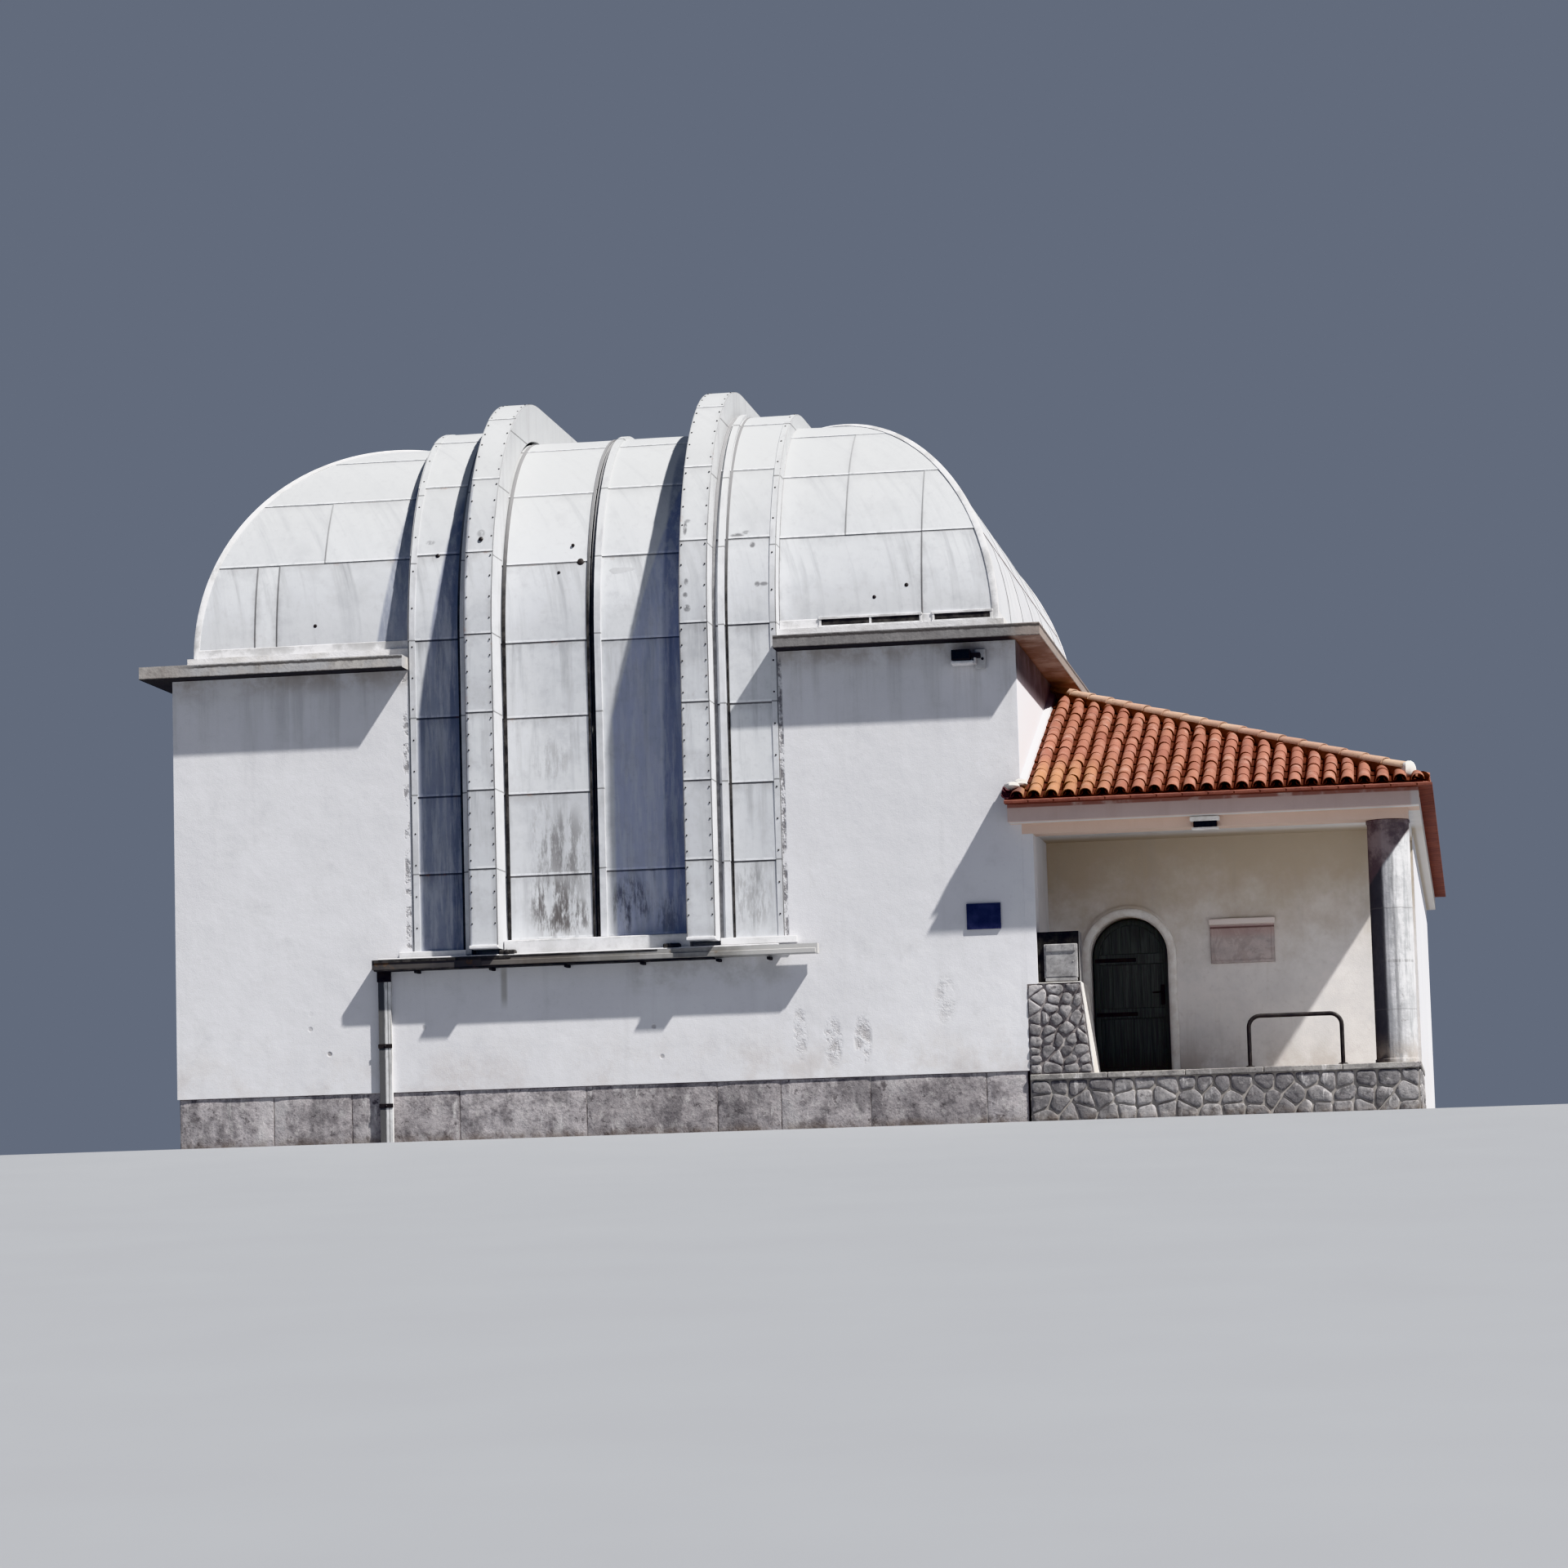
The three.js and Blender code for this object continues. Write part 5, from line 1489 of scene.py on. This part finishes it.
P.make("hip_tiles", HIP_TILE, slot="roof_tile")
Q.make("hip_bedding", BED, slot="roof_tile")


def lump(P, c, r, seed, n=14, m_=9):
    verts, faces = [], []
    for j in range(m_ + 1):
        for i in range(n):
            t, f = math.pi * j / m_, 2 * math.pi * i / n
            d = Vector((math.sin(t) * math.cos(f), math.sin(t) * math.sin(f), math.cos(t)))
            k = 1 + 0.22 * noise.noise(d * 1.8 + Vector((seed, 0, 0)))
            verts.append(Vector(c) + Vector((d.x * r[0], d.y * r[1], d.z * r[2])) * k)
    for j in range(m_):
        for i in range(n):
            i2 = (i + 1) % n
            if j == 0:
                faces.append((j * n, (j + 1) * n + i, (j + 1) * n + i2))
            elif j == m_ - 1:
                faces.append((j * n + i, (j + 1) * n, j * n + i2))
            else:
                faces.append((j * n + i, (j + 1) * n + i, (j + 1) * n + i2, j * n + i2))
    P.add(verts, faces)


# limewashed caps at the low ends of the hips, and the white fillets where the tiles meet the block
P = Piece()
lump(P, (9.52, -0.23, 3.845), (0.10, 0.09, 0.105), 3.0)
lump(P, (9.52, 15.43, 3.845), (0.10, 0.09, 0.105), 8.0)


def fillet(P, path, w, h, out, seed):
    """A coarse wedge of mortar along a wall: path points on the deck at the wall, out is the way from the wall."""
    verts, faces = [], []
    n = len(path)
    for i, q in enumerate(path):
        q = Vector(q)
        ww = w * (1 + 0.10 * noise.noise(Vector((i * 0.9, seed, 0))))
        hh = h * (1 + 0.10 * noise.noise(Vector((i * 0.8, seed, 5))))
        for a, b in ((0.001, 0.0), (0.001, hh), (ww * 0.35, hh * 0.93), (ww, hh * 0.60), (ww * 1.02, 0.0)):
            verts.append(q + Vector(out) * a + Zn * b)
    for i in range(n - 1):
        for j in range(4):
            faces.append((i * 5 + j, i * 5 + j + 1, i * 5 + j + 6, i * 5 + j + 5))
    faces.append((0, 1, 2, 3, 4))
    faces.append(tuple((n - 1) * 5 + j for j in (4, 3, 2, 1, 0)))
    q = [verts[i] for i in faces[1]]
    if (q[1] - q[0]).cross(q[2] - q[1]).dot(Vector(out) * 0.3 + Zn) < 0:
        faces = [f[::-1] for f in faces]
    P.add(verts, faces)


lump(P, (5.015, -0.30, 3.862), (0.085, 0.18, 0.045), 5.0)
lump(P, (5.095, -0.15, 3.905), (0.080, 0.16, 0.050), 6.0)
P.make("hip_caps", LIME, slot="roof_tile")
P = Piece()
fillet(P, [(XL, 0.02 + 4.16 * i / 24, EAVE_Z + SLOPE * (0.52 + 4.16 * i / 24)) for i in range(25)], 0.062, 0.125, (1, 0, 0), 1.0)
fillet(P, [(XL, 4.2 + 5.94 * i / 24, EAVE_Z + SLOPE * APEX - 0.03) for i in range(25)], 0.10, 0.14, (1, 0, 0), 2.0)
P.make("roof_fillets", M["white_render"], slot="roof_tile")
# verge along the top and the left edge of the slopes behind the block
P = Piece()
for k in range(3):
    y = 10.16 + 0.33 * k
    tile(P, Vector((XL + 0.095, y, EAVE_Z + SLOPE * APEX)), Vector((1, 0, 0)), Vector((0, 1, 0)), Zn, 0.09, 0.08, 0.40, 0.05, 0.035, True, (rng.random(), rng.random()), 8)
s, total = 0.0, APEX * CS
while s < total - 0.1:
    tile(P, Vector((XL + 0.095, EAVE_Y1 - 0.062, EAVE_Z + 0.02)) + ub * s, Vector((1, 0, 0)), ub, nb, 0.09, 0.08, min(0.43, total - s), 0.055, 0.04, True,
         (rng.random(), rng.random()), 8)
    s += 0.335
P.make("verge_tiles", HIP_TILE, slot="roof_tile")

# ---------------------------------------------------------------- stones
rs = random.Random(7)


def block(P, p0, ax, ay, length, height, depth, seed, nu, nv, rnd):
    """One rough-faced stone: p0 its low corner, ax and ay unit vectors along and out of the wall."""
    verts, faces = [], []
    ax, ay = Vector(ax), Vector(ay)
    for j in range(nv + 1):
        for i in range(nu + 1):
            fu, fv = i / nu, j / nv
            e = min(fu * length, (1 - fu) * length, fv * height, (1 - fv) * height)
            q = p0 + ax * (fu * length) + Zn * (fv * height)
            if 0 < i < nu:
                q += ax * (0.25 * length / nu * noise.noise(Vector((q.x * 3 + seed, q.y * 3, q.z * 7))))
            d = depth * (0.28 + 0.72 * min(1.0, e / 0.05)) * (0.62 + 0.38 * noise.noise(Vector((q.x * 3.5, q.y * 3.5 + seed, q.z * 4.5))))
            d += 0.20 * depth * min(1.0, e / 0.02) * noise.noise(Vector((q.x * 13, q.y * 13, q.z * 13 + seed)))
            verts.append(q + ay * max(0.0, d))
    K = nu + 1
    faces = [(j * K + i, j * K + i + 1, (j + 1) * K + i + 1, (j + 1) * K + i) for j in range(nv) for i in range(nu)]
    ring = [i for i in range(K)] + [j * K + nu for j in range(1, nv + 1)] + [nv * K + i for i in range(nu - 1, -1, -1)]
    ring += [j * K for j in range(nv - 1, 0, -1)]
    n0 = len(verts)
    verts += [verts[i] - ay * 0.02 for i in ring]
    L = len(ring)
    faces += [(ring[i], n0 + i, n0 + (i + 1) % L, ring[(i + 1) % L]) for i in range(L)]
    q = [Vector(verts[i]) for i in faces[0]]
    if (q[1] - q[0]).cross(q[2] - q[1]).dot(ay) < 0:
        faces = [f[::-1] for f in faces]
    P.add(verts, faces, (rnd[0], rnd[1], 0.0))


def course(P, p0, ax, ay, length, z0, z1, cuts, depth, joint=0.016):
    at = 0.0
    for k, w in enumerate(cuts):
        w = min(w, length - at)
        if w < 0.12:
            break
        if length - at - w < 0.2:
            w = length - at
        q = Vector(p0) + Vector(ax) * (at + joint / 2)
        q.z = z0 + joint / 2
        block(P, q, ax, ay, w - joint, z1 - z0 - joint, depth, rs.uniform(0, 50), max(4, round(w / 0.075)), max(3, round((z1 - z0) / 0.075)),
              (rs.random(), rs.random()))
        at += w
        if at >= length - 0.01:
            break


def lens(total, lo, hi):
    out = []
    while sum(out) < total + hi:
        out.append(rs.uniform(lo, hi))
    return out


IN = 0.025
P = Piece()
front_cuts = [1.15, 0.95, 1.3, 1.52, 1.55, 0.75, 1.05, 1.35, 0.9]
course(P, (-HW + IN, IN, 0), (1, 0, 0), (0, -1, 0), 2 * HW - 2 * IN, 0.0, PLINTH, front_cuts, 0.021)
course(P, (HW - IN, DEPTH - IN, 0), (-1, 0, 0), (0, 1, 0), 2 * HW - 2 * IN, 0.0, PLINTH, lens(2 * HW, 0.8, 1.5), 0.021)
course(P, (-HW + IN, DEPTH - IN, 0), (0, -1, 0), (-1, 0, 0), DEPTH - 2 * IN, 0.0, PLINTH, lens(DEPTH, 0.8, 1.5), 0.021)
P.make("plinth_blocks", BLOCK, slot="plinth_stone")


def inside(poly, px, pz, qx, qz):
    """The part of a convex outline nearer to p than to q."""
    mx, mz, dx, dz = (px + qx) / 2, (pz + qz) / 2, qx - px, qz - pz
    out = []
    for k in range(len(poly)):
        a, c = poly[k], poly[(k + 1) % len(poly)]
        da = (a[0] - mx) * dx + (a[1] - mz) * dz
        dc = (c[0] - mx) * dx + (c[1] - mz) * dz
        if da <= 0:
            out.append(a)
        if da * dc < 0:
            t = da / (da - dc)
            out.append((a[0] + (c[0] - a[0]) * t, a[1] + (c[1] - a[1]) * t))
    return out


def rubble(P, p0, ax, ay, length, z0, z1, depth, edge=None, size=0.16, joint=0.013):
    """Irregular stones that fill a wall face: a jittered grid of centres, each stone its own nearest region."""
    p0, ax, ay = Vector(p0), Vector(ax), Vector(ay)
    seeds = []
    nz = max(1, round((z1 - z0) / (size * 0.78)))
    for j in range(nz):
        w = size * rs.uniform(1.0, 1.35)
        nx = max(1, round(length / w))
        for i in range(nx):
            seeds.append(((i + 0.5 + rs.uniform(-0.34, 0.34)) * length / nx, z0 + (j + 0.5 + rs.uniform(-0.28, 0.28)) * (z1 - z0) / nz))
    for n, (sx, sz) in enumerate(seeds):
        poly = [(0.0, z0), (length, z0), (length, z1), (0.0, z1)]
        if edge:
            poly = edge
        for k, (qx, qz) in enumerate(seeds):
            if k != n and abs(qx - sx) < 3.2 * size and abs(qz - sz) < 3.2 * size:
                poly = inside(poly, sx, sz, qx, qz)
                if len(poly) < 3:
                    break
        if len(poly) < 3:
            continue
        cxx = sum(q[0] for q in poly) / len(poly)
        czz = sum(q[1] for q in poly) / len(poly)
        # round the outline: points along every edge, pulled in by half a joint
        ring = []
        for k in range(len(poly)):
            a, c = poly[k], poly[(k + 1) % len(poly)]
            parts = max(1, round(math.dist(a, c) / 0.045))
            ring += [(a[0] + (c[0] - a[0]) * t / parts, a[1] + (c[1] - a[1]) * t / parts) for t in range(parts)]
        m_ = len(ring)
        soft = []
        for k in range(m_):
            x_ = (ring[k - 1][0] + 2 * ring[k][0] + ring[(k + 1) % m_][0]) / 4
            z_ = (ring[k - 1][1] + 2 * ring[k][1] + ring[(k + 1) % m_][1]) / 4
            d = max(1e-4, math.hypot(x_ - cxx, z_ - czz))
            f = max(0.3, 1 - joint * (0.7 + 0.6 * abs(noise.noise(Vector((x_ * 9, z_ * 9, n))))) / d)
            soft.append((cxx + (x_ - cxx) * f, czz + (z_ - czz) * f))
        out = depth * rs.uniform(0.55, 0.95)
        verts, faces = [], []
        for f, h in ((1.0, -0.02), (1.0, 0.25), (0.92, 0.72), (0.72, 0.95), (0.45, 1.0), (0.2, 1.0)):
            for x_, z_ in soft:
                xx, zz = cxx + (x_ - cxx) * f, czz + (z_ - czz) * f
                rough = 0.0 if h < 0 else 0.30 * noise.noise(Vector((xx * 8 + n, zz * 8, 3))) + 0.16 * noise.noise(Vector((xx * 24, zz * 24 + n, 1)))
                o = h * out if h < 0 else max(0.002, (h + rough * min(1.0, h + 0.2)) * out)
                q = p0 + ax * xx + ay * (-0.02 if h < 0 else min(depth, o))
                verts.append(Vector((q.x, q.y, zz)))
        q = p0 + ax * cxx + ay * min(depth, out)
        verts.append(Vector((q.x, q.y, czz)))
        for r_ in range(5):
            for k in range(m_):
                k2 = (k + 1) % m_
                faces.append((r_ * m_ + k, r_ * m_ + k2, (r_ + 1) * m_ + k2, (r_ + 1) * m_ + k))
        faces += [(5 * m_ + k, 5 * m_ + (k + 1) % m_, 6 * m_) for k in range(m_)]
        q = [verts[i] for i in faces[-1]]
        if (q[1] - q[0]).cross(q[2] - q[1]).dot(ay) < 0:
            faces = [f[::-1] for f in faces]
        P.add(verts, faces, (rs.random(), rs.random(), 0.0))


P = Piece()
slope_edge = [(0.0, PORCH_Z + 0.002), (0.728, PORCH_Z + 0.002), (0.612, 1.590), (0.0, 1.590)]
rubble(P, (XL + 0.002, 0.0, 0), (1, 0, 0), (0, -1, 0), 0.73, PORCH_Z + 0.002, 1.590, 0.032, slope_edge, 0.15)
P.make("pier_stones", RUBBLE, slot="plinth_stone")
P = Piece()
# plaster on the pier's leaning right side, and its cap
verts = []
for o in (0.0005, 0.014):
    for y in (-0.004, 0.784):
        verts += [(5.8105 + o, y, PORCH_Z + 0.001), (5.6905 + o, y, 1.597)]
faces = [(0, 1, 3, 2), (4, 6, 7, 5), (0, 4, 5, 1), (2, 3, 7, 6), (1, 5, 7, 3), (0, 2, 6, 4)]
P.add(verts, outward([Vector(v) for v in verts], faces))
bbox(P, 5.2035, 5.7, -0.020, 0.79, 1.5945, 1.604, 0.004)
P.make("pier_plaster", LIME, slot="plinth_stone")
P = Piece()
rubble(P, (XL + 0.002, 0.0, 0), (1, 0, 0), (0, -1, 0), WX - XL - 0.004, 0.0, 0.485, 0.028, None, 0.19)
rubble(P, (WX, 0.002, 0), (0, 1, 0), (1, 0, 0), PORCH_Y - 0.004, 0.0, 0.485, 0.028, None, 0.19)
P.make("porch_base_stones", RUBBLE, slot="plinth_stone")
P = Piece()
for i in range(5):
    w = (WX - XL + 0.03) / 5
    bbox(P, XL + 0.002 + w * i, XL + w * (i + 1) - 0.004, -0.035, -0.0005, 0.487, PORCH_Z + 0.002, 0.008)
for i in range(3):
    w = PORCH_Y / 3
    bbox(P, WX + 0.0005, WX + 0.03, w * i, w * (i + 1) - 0.004, 0.487, PORCH_Z + 0.002, 0.008)
P.make("porch_edge_stones", EDGE_STONE, slot="floor_screed")

# ---------------------------------------------------------------- door
cx, half_w, spring = DOOR_X, DOOR_W / 2 - 0.012, DOOR_TOP - 0.01 - (DOOR_W - 0.02) / 2
y_leaf = PORCH_Y + 0.35 - 0.06


def arch_height(x):
    r = (DOOR_W - 0.02) / 2 - 0.003
    d = min(r, abs(x - cx))
    return spring + math.sqrt(r * r - d * d)


P = Piece()
nb_ = 8
bw = 2 * half_w / nb_
for i in range(nb_):
    xa, xb = cx - half_w + bw * i + 0.003, cx - half_w + bw * (i + 1) - 0.003
    poly = [(xa, PORCH_Z + 0.02), (xb, PORCH_Z + 0.02)]
    poly += [(xb + (xa - xb) * k / 4, arch_height(xb + (xa - xb) * k / 4) - 0.004) for k in range(5)]
    prism(P, poly, y_leaf - 0.014, y_leaf - 0.0006)
path, outn = [], []
r = half_w - 0.012
path.append((cx + r, PORCH_Z + 0.02)); outn.append((-1, 0))
for k in range(25):
    t = math.pi * k / 24
    path.append((cx + r * math.cos(t), spring + r * math.sin(t))); outn.append((-math.cos(t), -math.sin(t)))
path.append((cx - r, PORCH_Z + 0.02)); outn.append((1, 0))
sweep(P, path, outn, y_leaf, [(-0.005, 0.0), (-0.005, 0.030), (0.004, 0.036), (0.055, 0.036), (0.064, 0.028), (0.064, 0.0)])
for z in (0.60, 1.32, 1.98):
    bbox(P, cx - half_w + 0.07, cx + half_w - 0.07, y_leaf - 0.032, y_leaf - 0.010, z, z + 0.13, 0.006)
P.make("door_boards", M["door_wood"], body="door", slot="door_wood")
P = Piece()
for z in (0.655, 1.375, 2.035):
    bbox(P, cx - half_w + 0.02, cx - half_w + 0.52, y_leaf - 0.043, y_leaf - 0.032, z - 0.022, z + 0.022, 0.003)
    for k in range(4):
        stud(P, (cx - half_w + 0.08 + 0.12 * k, y_leaf - 0.043, z), (0, -1, 0), 0.012, 0.008, 8)
bbox(P, cx + half_w - 0.115, cx + half_w - 0.065, y_leaf - 0.042, y_leaf - 0.032, 1.48, 1.72, 0.004)
tube(P, [(cx + half_w - 0.09, y_leaf - 0.042, 1.63), (cx + half_w - 0.09, y_leaf - 0.085, 1.63), (cx + half_w - 0.11, y_leaf - 0.092, 1.63),
         (cx + half_w - 0.21, y_leaf - 0.092, 1.625)], 0.010, 10)
stud(P, (cx + half_w - 0.09, y_leaf - 0.042, 1.53), (0, -1, 0), 0.013, 0.006, 10)
P.make("door_ironwork", M["dark_metal"], body="door", slot="door_wood")
# raised moulding on the surround, and the threshold
P = Piece()
path, outn = [], []
R0 = DOOR_W / 2
zc = DOOR_TOP - R0
path.append((cx + R0, PORCH_Z + 0.003)); outn.append((1, 0))
for k in range(33):
    t = math.pi * k / 32
    path.append((cx + R0 * math.cos(t), zc + R0 * math.sin(t))); outn.append((math.cos(t), math.sin(t)))
path.append((cx - R0, PORCH_Z + 0.003)); outn.append((-1, 0))
prof = [(0.0, 0.0)] + [(0.048 - 0.048 * math.cos(math.pi * k / 10), 0.014 + 0.024 * math.sin(math.pi * k / 10)) for k in range(11)] + [(0.096, 0.0)]
sweep(P, path, outn, PORCH_Y - 0.045, prof)
P.make("surround_moulding", LIME, slot="porch_render")
P = Piece()
bbox(P, cx - R0 + 0.003, cx + R0 - 0.003, PORCH_Y - 0.07, PORCH_Y + 0.285, PORCH_Z + 0.0005, PORCH_Z + 0.010, 0.004)
P.make("threshold", M["floor_screed"], slot="floor_screed")

# ---------------------------------------------------------------- small things on the walls
P = Piece()
bbox(P, 7.015, 7.815, PORCH_Y - 0.105, PORCH_Y - 0.0605, 2.395, 2.47, 0.010)
bbox(P, 7.03, 7.80, PORCH_Y - 0.085, PORCH_Y - 0.0605, 2.360, 2.395, 0.006)
for x0, x1, z0, z1 in ((7.035, 7.795, 1.935, 1.965), (7.035, 7.065, 1.965, 2.36), (7.765, 7.795, 1.965, 2.36)):
    bbox(P, x0, x1, PORCH_Y - 0.070, PORCH_Y - 0.0605, z0, z1, 0.004)
P.make("plaque_cap", M["plaque_stone"], slot="plaque_stone")
P = Piece()
for x0, x1, z0, z1 in ((4.405, 4.80, 2.248, 2.262), (4.405, 4.80, 2.531, 2.545), (4.405, 4.419, 2.262, 2.531), (4.786, 4.80, 2.262, 2.531)):
    bbox(P, x0, x1, -0.0265, -0.0222, z0, z1, 0.0015)
for x in (4.435, 4.77):
    for z in (2.278, 2.515):
        stud(P, (x, -0.0222, z), (0, -1, 0), 0.008, 0.005, 8)
P.make("sign_rim", M["sign_enamel"], slot="sign_enamel")
# flood lamp: cooling ribs, glass and its white bracket
P, Q, R = Piece(), Piece(), Piece()
for i in range(6):
    bbox(P, 4.37 + 0.03 * i, 4.38 + 0.03 * i, -0.195, -0.095, 5.4805, 5.492, 0.002)
bbox(P, 4.345, 4.565, -0.212, -0.2002, 5.367, 5.488, 0.004)
bbox(Q, 4.360, 4.550, -0.216, -0.2122, 5.382, 5.473, 0.003)
stud(P, (4.69, -0.0502, 5.39), (0, -1, 0), 0.016, 0.010, 10)
P.make("flood_lamp_ribs", M["dark_metal"], slot="dark_metal")
Q.make("flood_lamp_glass", GLASS, slot="dark_metal")
bbox(R, 4.600, 4.725, -0.050, -0.0402, 5.275, 5.505, 0.005)
bbox(R, 4.335, 4.60, -0.206, -0.030, 5.320, 5.362, 0.010)
bbox(R, 4.600, 4.624, -0.175, -0.0402, 5.320, 5.395, 0.004)
R.make("flood_lamp_bracket", M["white_trim"], slot="dark_metal")
# lamp on the beam
P, Q = Piece(), Piece()
bbox(P, 7.02, 7.36, -0.120, -0.0006, 3.382, 3.440, 0.012)
bbox(P, 7.04, 7.35, -0.120, -0.0006, 3.285, 3.312, 0.006)
bbox(Q, 7.06, 7.33, -0.110, -0.004, 3.310, 3.384, 0.010)
P.make("beam_lamp_case", LIME, slot="dark_metal")
Q.make("beam_lamp_glass", GLASS, slot="dark_metal")
# meter box: frame, door panel, and the near-black plate round it as painted shade in its recess
P, Q = Piece(), Piece()
bbox(Q, 5.207, 5.683, 0.046, 0.0595, 1.597, 2.189, 0.003)
bbox(P, 5.280, 5.668, 0.018, 0.046, 1.650, 2.045, 0.008)
bbox(P, 5.300, 5.648, 0.010, 0.018, 1.668, 2.028, 0.005)
bbox(P, 5.300, 5.648, -0.006, 0.018, 1.955, 2.045, 0.012)
bbox(P, 5.290, 5.660, 0.002, 0.046, 1.615, 1.650, 0.006)
stud(P, (5.615, 0.010, 1.84), (0, -1, 0), 0.012, 0.008, 8)
P.make("meter_box_door", M["box_render"], slot="box_render")
Q.make("meter_box_frame", RECESS_SHADE, slot="box_render")
# column: a thin base ring and a plain necking; handrail feet
P = Piece()
for z0, z1, rr in ((PORCH_Z + 0.001, PORCH_Z + 0.05, 0.252), (BEAM_Z - 0.045, BEAM_Z - 0.001, 0.250)):
    n = 40
    verts, faces = [], []
    for r_, z in ((0.2402, z0), (rr, z0 + 0.006), (rr, z1 - 0.006), (0.2402, z1)):
        verts += [(9.26 + r_ * math.cos(2 * math.pi * k / n), 0.25 + r_ * math.sin(2 * math.pi * k / n), z) for k in range(n)]
    for i in range(3):
        for k in range(n):
            k2 = (k + 1) % n
            faces.append((i * n + k, i * n + k2, (i + 1) * n + k2, (i + 1) * n + k))
    P.add(verts, faces)
P.make("column_rings", COLUMN, slot="white_render")
P = Piece()
for x in (7.59, 8.645):
    n = 16
    verts, faces = [], []
    for r_, z in ((0.0245, 0.575), (0.045, 0.572), (0.058, 0.560), (0.058, 0.551)):
        verts += [(x + r_ * math.cos(2 * math.pi * k / n), 0.13 + r_ * math.sin(2 * math.pi * k / n), z) for k in range(n)]
    for i in range(3):
        for k in range(n):
            k2 = (k + 1) % n
            faces.append((i * n + k2, i * n + k, (i + 1) * n + k, (i + 1) * n + k2))
    P.add(verts, faces)
P.make("handrail_feet", M["dark_metal"], slot="dark_metal")
